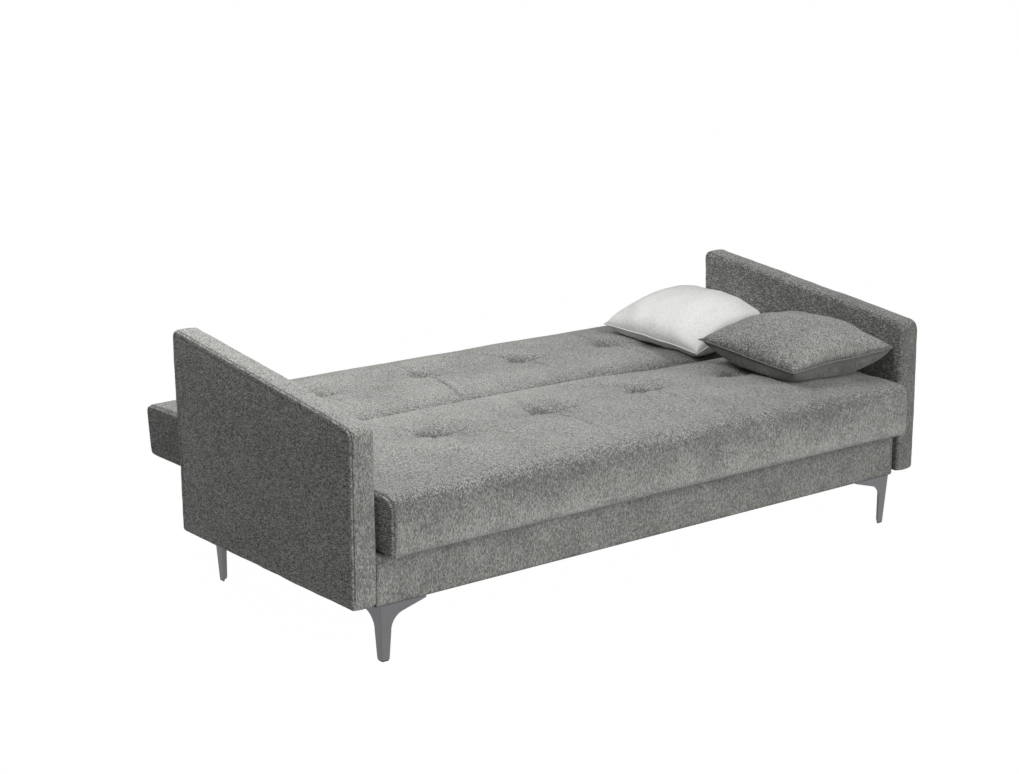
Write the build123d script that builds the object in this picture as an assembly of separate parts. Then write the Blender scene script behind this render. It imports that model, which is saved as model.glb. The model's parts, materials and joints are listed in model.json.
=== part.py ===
from build123d import *

import os
from math import cos, hypot, radians, sin

# A three-seat sofa bed, opened flat. X runs along it, Y to the back and Z up, all in millimetres.
# The origin is on the floor, under the middle of the whole bed.

# Overall sizes
sofa_width = 2029.0
bed_depth = 1222.0
leg_height = 150.0
base_height = 138.0
pad_height = 152.0

# Arms
arm_thickness = 69.0
arm_depth = 823.0
arm_rear_lean = 15.0
arm_front_height = 612.0
arm_back_height = 721.0
arm_clearance = 158.0
arm_cover_wall = 12.0
arm_skin = 3.0
arm_edge_round = 11.0
arm_front_round = 34.0
arm_back_round = 22.0
arm_bottom_round = 12.0
arm_post_width = 55.0
arm_stile_width = 40.0
arm_rail_width = 50.0
arm_window_count = 4

# Seat and backrest pads
seat_overhang = 50.0
seat_depth = 644.0
fold_gap = 12.0
pad_end_gap = 16.0
pad_crown = 20.0
pad_bulge = 5.0
pad_draw_in = 4.0
pad_top_round = 30.0
pad_bottom_round = 14.0
back_heel_round = 25.0
back_far_lean = 22.0
pad_end_round = 12.0
cover_wall = 14.0
foam_height = 66.0
deck_thickness = 6.0
frame_height = 35.0
frame_rail_width = 45.0
cross_rail_width = 45.0
cross_rail_count = 10
lining_thickness = 1.0

# Sewn tufts
tuft_count = 4
tuft_pitch = 370.0
tuft_shift = 20.0
tuft_depth = 42.0
tuft_radius = 78.0
tuft_floor_radius = 9.0
tuft_lip = 3.0
seat_tuft_setback = 245.0
back_tuft_setback = 251.0
tie_radius = 1.5
tie_clearance = 0.5
stitch_length = 14.0
tie_washer_radius = 11.0
tie_washer_thickness = 2.5

# Base box
rail_setback = 11.0
rail_end_gap = 3.0
board_thickness = 22.0
rail_cover = 3.0
rest_gap = 0.3
rear_rail_height = 108.0
rear_rail_setback = 5.0
side_step_setback = 60.0
floor_sheet = 5.0
bearer_height = 18.0
bearer_width = 60.0
bearer_count = 3
leg_block_size = 170.0
brace_reach = 40.0
brace_height = 60.0
brace_thickness = 3.0
brace_screw_radius = 3.5
brace_screw_head = 1.5

# Legs
leg_inset = 25.0
leg_setback = 9.0
leg_lean = 8.0
leg_foot_width = 22.0
leg_neck_height = 78.0
leg_neck_width = 25.5
leg_knee_height = 126.0
leg_knee_width = 62.0
leg_reach = 138.0
leg_tip_height = 5.0
leg_wall = 5.0
leg_gusset_bow = 8.0
leg_ridge_round = 4.0
glide_height = 4.0
glide_inset = 1.5
leg_screw_radius = 2.5
leg_screw_head_radius = 5.0
leg_screw_head = 2.0
leg_screw_depth = 15.0
leg_screw_shares = ((0.22, 0.33), (0.50, 0.33), (0.25, 0.62))

# Fold and lift fittings
back_plate_thickness = 3.0
seat_plate_thickness = 5.0
bracket_thickness = 3.0
plate_clearance = 0.4
fold_pin_inset = 50.0
fold_pin_drop = 50.0
fold_pin_radius = 6.0
lift_pin_radius = 7.0
lift_pin_back = 196.0
lift_pin_height = 12.0
pin_clearance = 0.05
pin_head = 2.5
pin_head_radius = 11.0
plate_round = 18.0
seat_plate_reach = 93.0
back_plate_reach = 105.0
screw_radius = 3.0
screw_head_radius = 6.0
screw_head = 2.0
screw_depth = 34.0
screw_clearance = 0.3
bush_wall = 2.0
bracket_depth = 60.0
bracket_height = 70.0
arm_bolt_radius = 4.0
arm_bolt_head_radius = 9.0
arm_bolt_head = 3.0
arm_bolt_depth = 48.0

# Loose pillows
pillow_length = 450.0
pillow_height = 150.0
pillow_edge = 6.0
pillow_draw = 16.0
pillow_wall = 2.5
pillow_rest_gap = 0.5
grey_pillow_width = 385.0
grey_pillow_from_arm = 177.5
grey_pillow_from_gap = 331.0
grey_pillow_rise = 58.0
grey_pillow_turn = (4.0, -9.0, -5.0)
white_pillow_width = 345.0
white_pillow_from_arm = 155.5
white_pillow_from_gap = 235.0
white_pillow_rise = 60.0
white_pillow_turn = (1.0, -16.0, 0.0)

cut_over = 5.0

# Places that follow from the sizes
inner_half = sofa_width / 2 - arm_thickness
arm_front = -bed_depth / 2 + seat_overhang
arm_rear = arm_front + arm_depth
arm_slope = (arm_back_height - arm_front_height) / (arm_depth + arm_rear_lean)
arm_rake = arm_rear_lean / (arm_back_height - arm_clearance)
pad_half = inner_half - pad_end_gap
seat_front = -bed_depth / 2
seat_rear = seat_front + seat_depth
back_inner = seat_rear + fold_gap
back_far = bed_depth / 2
seat_bottom = leg_height + base_height
pad_top = seat_bottom + pad_height
crown_top = pad_top + pad_crown
frame_bottom = seat_bottom + lining_thickness
frame_top = frame_bottom + frame_height
deck_top = frame_top + deck_thickness
foam_top = deck_top + foam_height
rail_front = arm_front + rail_setback
rail_top = seat_bottom - rest_gap
rail_back = rail_front + board_thickness + 2 * rail_cover
rear_rail_back = arm_rear - rear_rail_setback
rear_rail_front = rear_rail_back - board_thickness - 2 * rail_cover
rear_rail_top = leg_height + rear_rail_height
side_step = seat_rear - side_step_setback
board_inner = inner_half - board_thickness
floor_bottom = leg_height + bearer_height
floor_top = floor_bottom + floor_sheet
back_plate_x = pad_half + plate_clearance
seat_plate_x = back_plate_x + back_plate_thickness + plate_clearance
seat_plate_out = seat_plate_x + seat_plate_thickness
bracket_x = inner_half - bracket_thickness
fold_pin = (back_inner + fold_pin_inset, pad_top - fold_pin_drop)
lift_pin = (seat_rear + lift_pin_back, seat_bottom + lift_pin_height)
gap_middle = seat_rear + fold_gap / 2
grey_pillow_place = (inner_half - grey_pillow_from_arm, gap_middle - grey_pillow_from_gap, grey_pillow_rise)
white_pillow_place = (inner_half - white_pillow_from_arm, gap_middle + white_pillow_from_gap, white_pillow_rise)
sides = (-1, 1)


def block(x0, x1, y0, y1, z0, z1):
    """A box between two corners."""
    solid = Solid.make_box(abs(x1 - x0), abs(y1 - y0), abs(z1 - z0))
    return solid.moved(Location((min(x0, x1), min(y0, y1), min(z0, z1))))


def rod(start, end, radius):
    """A round rod between two points."""
    start, end = Vector(start), Vector(end)
    return Solid.make_cylinder(radius, (end - start).length, Plane(start, z_dir=end - start))


def side_plate(outline, x0, x1):
    """A plate parallel to the sofa's ends: an outline of (y, z) points, between two X places."""
    low, thick = min(x0, x1), abs(x1 - x0)
    wire = Wire.make_polygon([Vector(low, y, z) for y, z in outline])
    return Solid.extrude(Face(wire), Vector(thick, 0, 0))


def cut(solid, *tools):
    """The solid less the tools, as plain solids."""
    for tool in tools:
        solid = solid - tool
    return solid


def group(solids):
    """Separate solids in one node."""
    return Compound(children=list(solids))


def save(name, shape):
    export_step(shape, f"parts/{name}.step")


# Arms: a timber frame between two hardboard skins, in a padded cover


def arm_outline(inset):
    """The arm's side outline, drawn in by an inset, from its lower front corner round to its upper one."""
    y0 = arm_front + inset
    z0 = arm_clearance + inset
    top = arm_front_height - inset * hypot(1, arm_slope)
    rear = arm_rear - inset * hypot(1, arm_rake)
    y1 = (rear + arm_rake * (top - arm_slope * arm_front - arm_clearance)) / (1 - arm_rake * arm_slope)
    low_rear = rear + arm_rake * inset
    return [(y0, z0), (low_rear, z0), (y1, top + arm_slope * (y1 - arm_front)), (y0, top + arm_slope * inset)]


def round_corner(shell, corner, radius):
    """Rounds the edge across the arm that starts at one (y, z) corner of its outline."""
    place = Vector(shell.center().X, *corner)
    edge = min(shell.edges().filter_by(Axis.X), key=lambda e: (e.center() - place).length)
    return shell.fillet(radius, [edge])


def arm_cover(side):
    outer = side * sofa_width / 2
    shell = side_plate(arm_outline(0), side * inner_half, outer)
    rounds = (arm_bottom_round, arm_bottom_round, arm_back_round, arm_front_round)
    for corner, radius in zip(arm_outline(0), rounds):
        shell = round_corner(shell, corner, radius)
    for x in (side * inner_half, outer):
        rim = [e for e in shell.edges() if abs(e.center().X - x) < arm_skin and e.bounding_box().size.X < arm_skin]
        shell = shell.fillet(arm_edge_round, rim)
    core = side_plate(arm_outline(arm_cover_wall), side * (inner_half + arm_cover_wall), outer - side * arm_cover_wall)
    return cut(shell, core, *arm_holes(side))


def arm_frame(side):
    """Posts, stiles and rails round four windows, with the top rail on the arm's slope."""
    x0 = side * (inner_half + arm_cover_wall + arm_skin)
    x1 = side * (sofa_width / 2 - arm_cover_wall - arm_skin)
    frame = side_plate(arm_outline(arm_cover_wall), x0, x1)
    y0 = arm_front + arm_cover_wall + arm_post_width
    y1 = arm_rear - arm_cover_wall - arm_post_width
    z0 = arm_clearance + arm_cover_wall + arm_rail_width
    pitch = (y1 - y0 + arm_stile_width) / arm_window_count
    window_top = arm_front_height - arm_cover_wall - arm_rail_width
    for n in range(arm_window_count):
        low = y0 + n * pitch
        high = low + pitch - arm_stile_width
        tops = [window_top + arm_slope * (y - arm_front) for y in (low, high)]
        window = [(low, z0), (high, z0), (high, tops[1]), (low, tops[0])]
        frame = cut(frame, side_plate(window, x0 - side * cut_over, x1 + side * cut_over))
    return cut(frame, *arm_holes(side))


def arm_skins(side):
    inner = side * (inner_half + arm_cover_wall)
    outer = side * (sofa_width / 2 - arm_cover_wall)
    outline = arm_outline(arm_cover_wall)
    near = cut(side_plate(outline, inner, inner + side * arm_skin), *arm_holes(side))
    far = side_plate(outline, outer - side * arm_skin, outer)
    return group([near, far])


def arm_bolt_places():
    """Two bolts into each post, through the side board, and clear of the steel braces."""
    z_low = floor_top + (rear_rail_top - floor_top) / 4
    z_high = rear_rail_top - (rear_rail_top - floor_top) / 5
    y_front = arm_front + arm_cover_wall + arm_post_width * 3 / 2 + arm_stile_width
    y_rear = arm_rear - arm_cover_wall - arm_post_width - arm_stile_width * 2
    return [(y, z) for y in (y_front, y_rear) for z in (z_low, z_high)]


def arm_bolt(side, y, z, spare=0.0):
    """A bolt with a flat head on the side board's inner face. Spare widens it into its own hole."""
    head = rod((side * (board_inner - arm_bolt_head), y, z), (side * board_inner, y, z), arm_bolt_head_radius + spare)
    shank = rod((side * board_inner, y, z), (side * (board_inner + arm_bolt_depth + spare), y, z), arm_bolt_radius + spare)
    return head + shank


def bracket_screw_places():
    y, z = lift_pin
    dy = bracket_depth / 2 - screw_head_radius * 2
    dz = bracket_height - screw_head_radius * 2
    return [(y - dy, z + dz / 3), (y + dy, z + dz / 3), (y - dy, z + dz * 3 / 4), (y + dy, z + dz * 3 / 4)]


def bracket_screw(side, y, z, spare=0.0):
    head = rod((side * (bracket_x - screw_head), y, z), (side * bracket_x, y, z), screw_head_radius)
    shank = rod((side * bracket_x, y, z), (side * (bracket_x + screw_depth + spare), y, z), screw_radius + spare)
    return head + shank


def arm_holes(side):
    bolts = [arm_bolt(side, y, z, screw_clearance) for y, z in arm_bolt_places()]
    screws = [bracket_screw(side, y, z, screw_clearance) for y, z in bracket_screw_places()]
    return bolts + screws


# Base: a box of boards between the arms, open at the top for bedding


def wrapped_rail(front, back, top, half):
    """A board and the fabric sleeve round it, which is turned in over the board's inner face."""
    y0 = front + rail_cover
    y1 = back - rail_cover
    board = block(-half + rail_cover, half - rail_cover, y0, y1, leg_height + rail_cover, top - rail_cover)
    return board, cut(block(-half, half, front, back, leg_height, top), board)


def front_rail():
    return wrapped_rail(rail_front, rail_back, rail_top, inner_half - rail_end_gap)


def rear_rail():
    return wrapped_rail(rear_rail_front, rear_rail_back, rear_rail_top, inner_half - rail_end_gap)


def side_board(side):
    """It is lower at the rear, where the backrest's heel swings down."""
    low = rear_rail_top
    high = rail_top
    outline = [
        (rail_back, leg_height),
        (rear_rail_front, leg_height),
        (rear_rail_front, low),
        (side_step, low),
        (side_step, high),
        (rail_back, high),
    ]
    board = side_plate(outline, side * board_inner, side * inner_half)
    return cut(board, *[arm_bolt(side, y, z, screw_clearance) for y, z in arm_bolt_places()])


def box_floor():
    return block(-board_inner, board_inner, rail_back, rear_rail_front, floor_bottom, floor_top)


def leg_block_corners():
    return [(sx, sy) for sx in sides for sy in (-1, 1)]


def leg_block(sx, sy):
    """A plywood pad under the floor in each corner, which the leg is screwed to."""
    x = sx * board_inner
    y = rail_back if sy < 0 else rear_rail_front
    pad = block(x, x - sx * leg_block_size, y, y - sy * leg_block_size, leg_height, floor_bottom)
    return cut(pad, *[leg_screw(*place, screw_clearance) for place in leg_screw_places(sx, sy)])


def floor_bearers():
    pitch = 2 * (board_inner - leg_block_size) / (bearer_count + 1)
    first = -board_inner + leg_block_size + pitch
    places = [first + n * pitch for n in range(bearer_count)]
    return group(
        block(x - bearer_width / 2, x + bearer_width / 2, rail_back, rear_rail_front, leg_height, floor_bottom)
        for x in places
    )


def corner_brace(sx, sy):
    """A steel angle that ties a rail to a side board, low enough to clear the backrest's heel."""
    x = sx * board_inner
    y = rail_back if sy < 0 else rear_rail_front
    z0 = (floor_top + rear_rail_top - brace_height) / 2
    z1 = z0 + brace_height
    along_x = block(x, x - sx * brace_reach, y, y - sy * brace_thickness, z0, z1)
    along_y = block(x, x - sx * brace_thickness, y, y - sy * brace_reach, z0, z1)
    return along_x + along_y


def brace_screws():
    """Domed screw heads, two on each leaf of each brace."""
    heads = []
    for sx, sy in leg_block_corners():
        x = sx * (board_inner - brace_thickness)
        y = (rail_back if sy < 0 else rear_rail_front) - sy * brace_thickness
        z_mid = (floor_top + rear_rail_top) / 2
        for z in (z_mid - brace_height / 4, z_mid + brace_height / 4):
            reach = brace_reach * 2 / 3
            on_rail = (sx * (board_inner - reach), y, z)
            on_board = (x, (rail_back if sy < 0 else rear_rail_front) - sy * reach, z)
            heads.append(rod(on_rail, (on_rail[0], y - sy * brace_screw_head, z), brace_screw_radius))
            heads.append(rod(on_board, (x - sx * brace_screw_head, on_board[1], z), brace_screw_radius))
    return group(heads)


# Legs: a cast metal angle whose two walls spread into gussets under the box


def leg_lean_at(z):
    """How far the leg's ridge has leaned out, in X and in Y, at a height."""
    return -leg_lean * (z - glide_height) / (leg_height - glide_height)


def leg_wall_face():
    """The outer face of the wall along X: the foot, the neck, and the long gusset."""

    def spot(run, z):
        return Vector(run, leg_lean_at(z), z)

    tip_z = leg_height - leg_tip_height
    foot = spot(0, glide_height)
    foot_in = spot(leg_foot_width, glide_height)
    neck = spot(leg_neck_width, leg_neck_height)
    knee = spot(leg_knee_width, leg_knee_height)
    tip_low = spot(leg_reach + leg_lean_at(tip_z), tip_z)
    tip = spot(leg_reach - leg_lean, leg_height)
    top = spot(-leg_lean, leg_height)
    bend_run = (leg_neck_width + leg_knee_width) / 2 - leg_gusset_bow
    bend = spot(bend_run, (leg_neck_height + leg_knee_height) / 2 + leg_gusset_bow)
    edges = [
        Edge.make_line(foot, foot_in),
        Edge.make_line(foot_in, neck),
        Edge.make_three_point_arc(neck, bend, knee),
        Edge.make_line(knee, tip_low),
        Edge.make_line(tip_low, tip),
        Edge.make_line(tip, top),
        Edge.make_line(top, foot),
    ]
    return Face(Wire(edges))


def leg(sx, sy):
    """The ridge is the outer corner, rounded. One wall runs along the rail, the other along the side."""
    along_x = Solid.extrude(leg_wall_face(), Vector(0, leg_wall, 0))
    along_y = along_x.mirror(Plane((0, 0, 0), x_dir=(0, 0, 1), z_dir=(1, -1, 0)))
    plate_z = leg_height - leg_tip_height
    out = leg_lean_at(plate_z)
    far = leg_reach + out
    plate_outline = [(out, out), (far, out), (far, leg_wall), (leg_wall, far), (out, far)]
    wire = Wire.make_polygon([Vector(x, y, plate_z) for x, y in plate_outline])
    plate = Solid.extrude(Face(wire), Vector(-leg_lean - out, -leg_lean - out, leg_tip_height))
    one = (along_x + along_y + plate).solid()
    ridge_middle = Vector(-leg_lean / 2, -leg_lean / 2, (glide_height + leg_height) / 2)
    ridge = min(one.edges(), key=lambda e: (e.center() - ridge_middle).length)
    return place_leg(one.fillet(leg_ridge_round, [ridge]), sx, sy)


def leg_corner(sx, sy):
    x = sx * (inner_half - leg_inset)
    y = rail_front + leg_setback if sy < 0 else rear_rail_back - leg_setback
    return x, y


def place_leg(shape, sx, sy):
    """Turns a leg made for the left front corner to any corner."""
    if sx > 0:
        shape = shape.mirror(Plane.YZ)
    if sy > 0:
        shape = shape.mirror(Plane.XZ)
    x, y = leg_corner(sx, sy)
    return shape.moved(Location((x, y, 0)))


def leg_node(sx, sy):
    return cut(leg(sx, sy), *[leg_screw(*place, screw_clearance) for place in leg_screw_places(sx, sy)])


def leg_screw_places(sx, sy):
    """Three screws in the part of the top plate that lies under the corner pad."""
    x, y = leg_corner(sx, sy)
    return [(x - sx * leg_reach * i, y - sy * leg_reach * j) for i, j in leg_screw_shares]


def leg_screw(x, y, spare=0.0):
    z = leg_height - leg_tip_height
    head = rod((x, y, z - leg_screw_head), (x, y, z), leg_screw_head_radius)
    return head + rod((x, y, z), (x, y, leg_height + leg_screw_depth + spare), leg_screw_radius + spare)


def leg_glide(sx, sy):
    """A plastic foot under each leg, in the angle's own shape."""
    arm = leg_foot_width - glide_inset
    along_x = block(glide_inset, arm, glide_inset, leg_wall - glide_inset / 2, 0, glide_height)
    along_y = block(glide_inset, leg_wall - glide_inset / 2, glide_inset, arm, 0, glide_height)
    return place_leg((along_x + along_y).solid(), sx, sy)


# Pads: the seat and the backrest are built alike, a timber frame and deck under foam, in a tufted cover


def pad_section(x, y0, y1, lows, draw, inset):
    """The pad's outline across the sofa at one X place: crowned on top and slightly full at its sides."""
    near = y0 + draw + inset
    far = y1 - draw / 2 - inset
    z0, z1 = seat_bottom, pad_top - inset
    r = pad_top_round
    chord = 1 - cos(radians(45))
    lo, hi, lean = lows

    def far_at(z):
        return far - lean * (z1 - z) / (z1 - z0)

    def arc(a, b, c):
        return Edge.make_three_point_arc(Vector(x, *a), Vector(x, *b), Vector(x, *c))

    z_mid = (z0 + z1) / 2
    low_bend = (far_at(z0 + hi * chord) - hi * chord, z0 + hi * chord)
    high_bend = (far_at(z1 - r * chord) - r * chord, z1 - r * chord)
    edges = [
        Edge.make_line(Vector(x, near + lo, z0), Vector(x, far_at(z0) - hi, z0)),
        arc((far_at(z0) - hi, z0), low_bend, (far_at(z0 + hi), z0 + hi)),
        arc((far_at(z0 + hi), z0 + hi), (far_at(z_mid) + pad_bulge / 2, z_mid), (far_at(z1 - r), z1 - r)),
        arc((far_at(z1 - r), z1 - r), high_bend, (far - r, z1)),
        arc((far - r, z1), ((near + far) / 2, z1 + pad_crown), (near + r, z1)),
        arc((near + r, z1), (near + r * chord, z1 - r * chord), (near, z1 - r)),
        arc((near, z1 - r), (near - pad_bulge / 2, z_mid), (near, z0 + lo)),
        arc((near, z0 + lo), (near + lo * chord, z0 + lo * chord), (near + lo, z0)),
    ]
    return Wire(edges)


def pad_body(y0, y1, lows):
    """The sides pull in a little between the corners, and the ends are rounded."""

    def loft(stations):
        return Solid.make_loft([pad_section(x, y0, y1, lows, draw, inset) for x, draw, inset in stations])

    full = pad_half - pad_end_round
    body = loft([(-full, 0, 0), (0, pad_draw_in, 0), (full, 0, 0)])
    for side in sides:
        steps = [radians(angle) for angle in (0, 30, 60, 80)]
        stations = [(side * (full + pad_end_round * sin(a)), 0, pad_end_round * (1 - cos(a))) for a in steps]
        stations[-1] = (side * pad_half, 0, stations[-1][2])
        body = body + loft(stations)
    return body.solid()


def tuft_places():
    middle = (tuft_count - 1) / 2
    return [(n - middle) * tuft_pitch + tuft_shift for n in range(tuft_count)]


def tuft_dimple(x, y):
    """The hollow that a tuft pulls into the pad, with the hole for its twine below the hollow's floor."""
    floor = crown_top - tuft_depth
    hole = tie_radius + tie_clearance
    waist_radius = (tuft_floor_radius + tuft_radius) / 2
    waist = crown_top - tuft_depth / 2
    inner = Vector(tuft_floor_radius + (waist_radius - tuft_floor_radius) * 2 / 3, 0, floor + tuft_depth / 7)
    outer = Vector(waist_radius + (tuft_radius - waist_radius) / 3, 0, crown_top - tuft_depth / 7)
    lip = crown_top + tuft_lip
    over = crown_top + cut_over
    edges = [
        Edge.make_line(Vector(0, 0, over), Vector(0, 0, frame_top)),
        Edge.make_line(Vector(0, 0, frame_top), Vector(hole, 0, frame_top)),
        Edge.make_line(Vector(hole, 0, frame_top), Vector(hole, 0, floor)),
        Edge.make_line(Vector(hole, 0, floor), Vector(tuft_floor_radius, 0, floor)),
        Edge.make_three_point_arc(Vector(tuft_floor_radius, 0, floor), inner, Vector(waist_radius, 0, waist)),
        Edge.make_three_point_arc(Vector(waist_radius, 0, waist), outer, Vector(tuft_radius, 0, lip)),
        Edge.make_line(Vector(tuft_radius, 0, lip), Vector(tuft_radius, 0, over)),
        Edge.make_line(Vector(tuft_radius, 0, over), Vector(0, 0, over)),
    ]
    solid = Solid.revolve(Face(Wire(edges)), 360, Axis.Z)
    return solid.moved(Location((x, y, 0)))


def washer_pocket(x, y):
    """Room in the frame for the washer that holds a tuft's twine."""
    low = frame_top - tie_washer_thickness - tie_clearance
    return rod((x, y, low), (x, y, frame_top), tie_washer_radius + tie_clearance)


def tie_hole(x, y):
    return rod((x, y, seat_bottom), (x, y, crown_top), tie_radius + tie_clearance)


def pad_inside(y0, y1):
    """The space inside the cover, in plan: half length, near side and far side."""
    return pad_half - cover_wall, y0 + cover_wall + pad_draw_in, y1 - cover_wall - pad_draw_in


def pad_cover(y0, y1, lows, tuft_y, holes):
    half, near, far = pad_inside(y0, y1 - lows[2])
    pocket = block(-half, half, near, far, seat_bottom - cut_over, foam_top)
    body = pad_body(y0, y1, lows)
    for x in tuft_places():
        body = body - tuft_dimple(x, tuft_y)
    return cut(body, pocket, *holes)


def pad_foam(y0, y1, tuft_y):
    half, near, far = pad_inside(y0, y1)
    foam = block(-half, half, near, far, deck_top, foam_top)
    return cut(foam, *[tie_hole(x, tuft_y) for x in tuft_places()])


def pad_deck(y0, y1, tuft_y):
    half, near, far = pad_inside(y0, y1)
    deck = block(-half, half, near, far, frame_top, deck_top)
    return cut(deck, *[tie_hole(x, tuft_y) for x in tuft_places()])


def frame_rail(y0, y1, which):
    """The long rail along the near side (0) or the far side (1) of a pad's frame."""
    half, near, far = pad_inside(y0, y1)
    low = near if which == 0 else far - frame_rail_width
    return block(-half, half, low, low + frame_rail_width, frame_bottom, frame_top)


def cross_rail_places():
    half = pad_half - cover_wall - cross_rail_width / 2
    return [-half + 2 * half * n / (cross_rail_count - 1) for n in range(cross_rail_count)]


def cross_rails(y0, y1, tuft_y, holes):
    half, near, far = pad_inside(y0, y1)
    low = near + frame_rail_width
    high = far - frame_rail_width
    w = cross_rail_width / 2
    rails = [block(x - w, x + w, low, high, frame_bottom, frame_top) for x in cross_rail_places()]
    pockets = [washer_pocket(x, tuft_y) for x in tuft_places()]
    return group([cut(rails[0], *holes), *[cut(r, *pockets) for r in rails[1:-1]], cut(rails[-1], *holes)])


def pad_lining(y0, y1):
    half, near, far = pad_inside(y0, y1)
    return block(-half, half, near, far, seat_bottom, frame_bottom)


def tuft_ties(tuft_y):
    """Twine from a stitch at each dimple's floor, through foam and deck, to a washer under the deck."""
    floor = crown_top - tuft_depth
    ties = []
    for x in tuft_places():
        twine = rod((x, tuft_y, frame_top - tie_washer_thickness), (x, tuft_y, floor + tie_radius), tie_radius)
        stitch_ends = [(x + side * stitch_length / 2, tuft_y, floor + tie_radius + tie_clearance) for side in sides]
        washer = rod((x, tuft_y, frame_top - tie_washer_thickness), (x, tuft_y, frame_top), tie_washer_radius)
        ties.append((twine + rod(*stitch_ends, tie_radius) + washer).solid())
    return group(ties)


# Fittings at each end: the seat plate carries both pins' bearings, and the back plate the fold pin


def rounded_plate(points, radius, x0, x1):
    """A plate with round corners about three (y, z) points: the outline of a band run round three discs."""
    core = side_plate(points, x0, x1)
    solid = core
    for n, (y, z) in enumerate(points):
        y2, z2 = points[(n + 1) % len(points)]
        run = hypot(y2 - y, z2 - z)
        oy, oz = radius * (z2 - z) / run, -radius * (y2 - y) / run
        band = [(y - oy, z - oz), (y + oy, z + oz), (y2 + oy, z2 + oz), (y2 - oy, z2 - oz)]
        solid = solid + side_plate(band, x0, x1) + rod((x0, y, z), (x1, y, z), radius)
    return solid.solid()


def seat_screw_places():
    """Two screws into the end of the seat's frame."""
    z = (frame_bottom + frame_top) / 2
    return [(seat_rear - seat_plate_reach - n * plate_round, z) for n in (0, 2)]


def back_screw_places():
    z = (frame_bottom + frame_top) / 2
    y = fold_pin[0] + back_plate_reach - plate_round
    return [(y - n * 2 * plate_round, z) for n in (0, 1)]


def seat_plate(side):
    z = (frame_bottom + frame_top) / 2
    front = (seat_rear - seat_plate_reach - 2 * plate_round, z + lining_thickness)
    plate = rounded_plate([front, lift_pin, fold_pin], plate_round, side * seat_plate_x, side * seat_plate_out)
    over0 = side * (seat_plate_x - cut_over)
    over1 = side * (seat_plate_out + cut_over)
    fold_hole = rod((over0, *fold_pin), (over1, *fold_pin), fold_pin_radius + pin_clearance)
    lift_hole = rod((over0, *lift_pin), (over1, *lift_pin), lift_pin_radius + bush_wall)
    return cut(plate, fold_hole, lift_hole, *[seat_screw(side, *p, screw_clearance) for p in seat_screw_places()])


def seat_screw(side, y, z, spare=0.0):
    head = rod((side * seat_plate_out, y, z), (side * (seat_plate_out + screw_head), y, z), screw_head_radius)
    tail = pad_half - cover_wall - screw_depth
    return head + rod((side * (tail - spare), y, z), (side * seat_plate_out, y, z), screw_radius + spare)


def seat_spacer(side, y, z):
    tube = rod((side * pad_half, y, z), (side * seat_plate_x, y, z), screw_head_radius)
    return cut(tube, rod((side * pad_half, y, z), (side * seat_plate_x, y, z), screw_radius + screw_clearance))


def back_plate(side):
    z = (frame_bottom + frame_top) / 2
    spots = back_screw_places()
    corners = [(spots[1][0], z), (spots[0][0], z), fold_pin]
    plate = rounded_plate(corners, plate_round * 2 / 3, side * back_plate_x, side * (back_plate_x + back_plate_thickness))
    tools = [back_screw(side, *p, screw_clearance) for p in spots]
    pin = rod((side * back_plate_x, *fold_pin), (side * seat_plate_out, *fold_pin), fold_pin_radius)
    return cut(plate, *tools, pin)


def back_screw(side, y, z, spare=0.0):
    """A countersunk screw, flush with the back plate's outer face."""
    face = back_plate_x + back_plate_thickness
    tail = pad_half - cover_wall - screw_depth
    head = rod((side * (face - screw_head), y, z), (side * face, y, z), screw_head_radius)
    return head + rod((side * (tail - spare), y, z), (side * face, y, z), screw_radius + spare)


def back_spacer(side, y, z):
    """A thin washer between the pad's end and the back plate."""
    ring = rod((side * pad_half, y, z), (side * back_plate_x, y, z), screw_head_radius)
    return cut(ring, rod((side * pad_half, y, z), (side * back_plate_x, y, z), screw_radius + screw_clearance))


def fold_pin_part(side):
    """A shouldered pin, riveted in the back plate, with its head outside the seat plate."""
    shank = rod((side * back_plate_x, *fold_pin), (side * (seat_plate_out + plate_clearance), *fold_pin), fold_pin_radius)
    head_in = side * (seat_plate_out + plate_clearance)
    head = rod((head_in, *fold_pin), (head_in + side * pin_head, *fold_pin), pin_head_radius)
    return shank + head


def lift_bracket(side):
    """A steel plate on the arm's inner face, with the stud that the seat plate turns on."""
    y, z = lift_pin
    plate = block(
        side * bracket_x,
        side * inner_half,
        y - bracket_depth / 2,
        y + bracket_depth / 2,
        z - plate_round,
        z + bracket_height - plate_round,
    )
    stud = rod((side * seat_plate_x, y, z), (side * bracket_x, y, z), lift_pin_radius)
    holes = [bracket_screw(side, *p, screw_clearance) for p in bracket_screw_places()]
    return cut(plate, *holes) + stud


def lift_bush(side):
    """A nylon bush pressed into the seat plate."""
    y, z = lift_pin
    ends = (side * seat_plate_x, y, z), (side * seat_plate_out, y, z)
    return cut(rod(*ends, lift_pin_radius + bush_wall), rod(*ends, lift_pin_radius + pin_clearance))


def lift_washer(side):
    """A nylon washer on the stud, between the seat plate and the bracket."""
    y, z = lift_pin
    ends = (side * (seat_plate_out + rest_gap), y, z), (side * bracket_x, y, z)
    return cut(rod(*ends, pin_head_radius), rod(*ends, lift_pin_radius))


# Pillows: each has a knife-edge cover round a fibre fill, and lies flat where it rests on the bed


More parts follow.
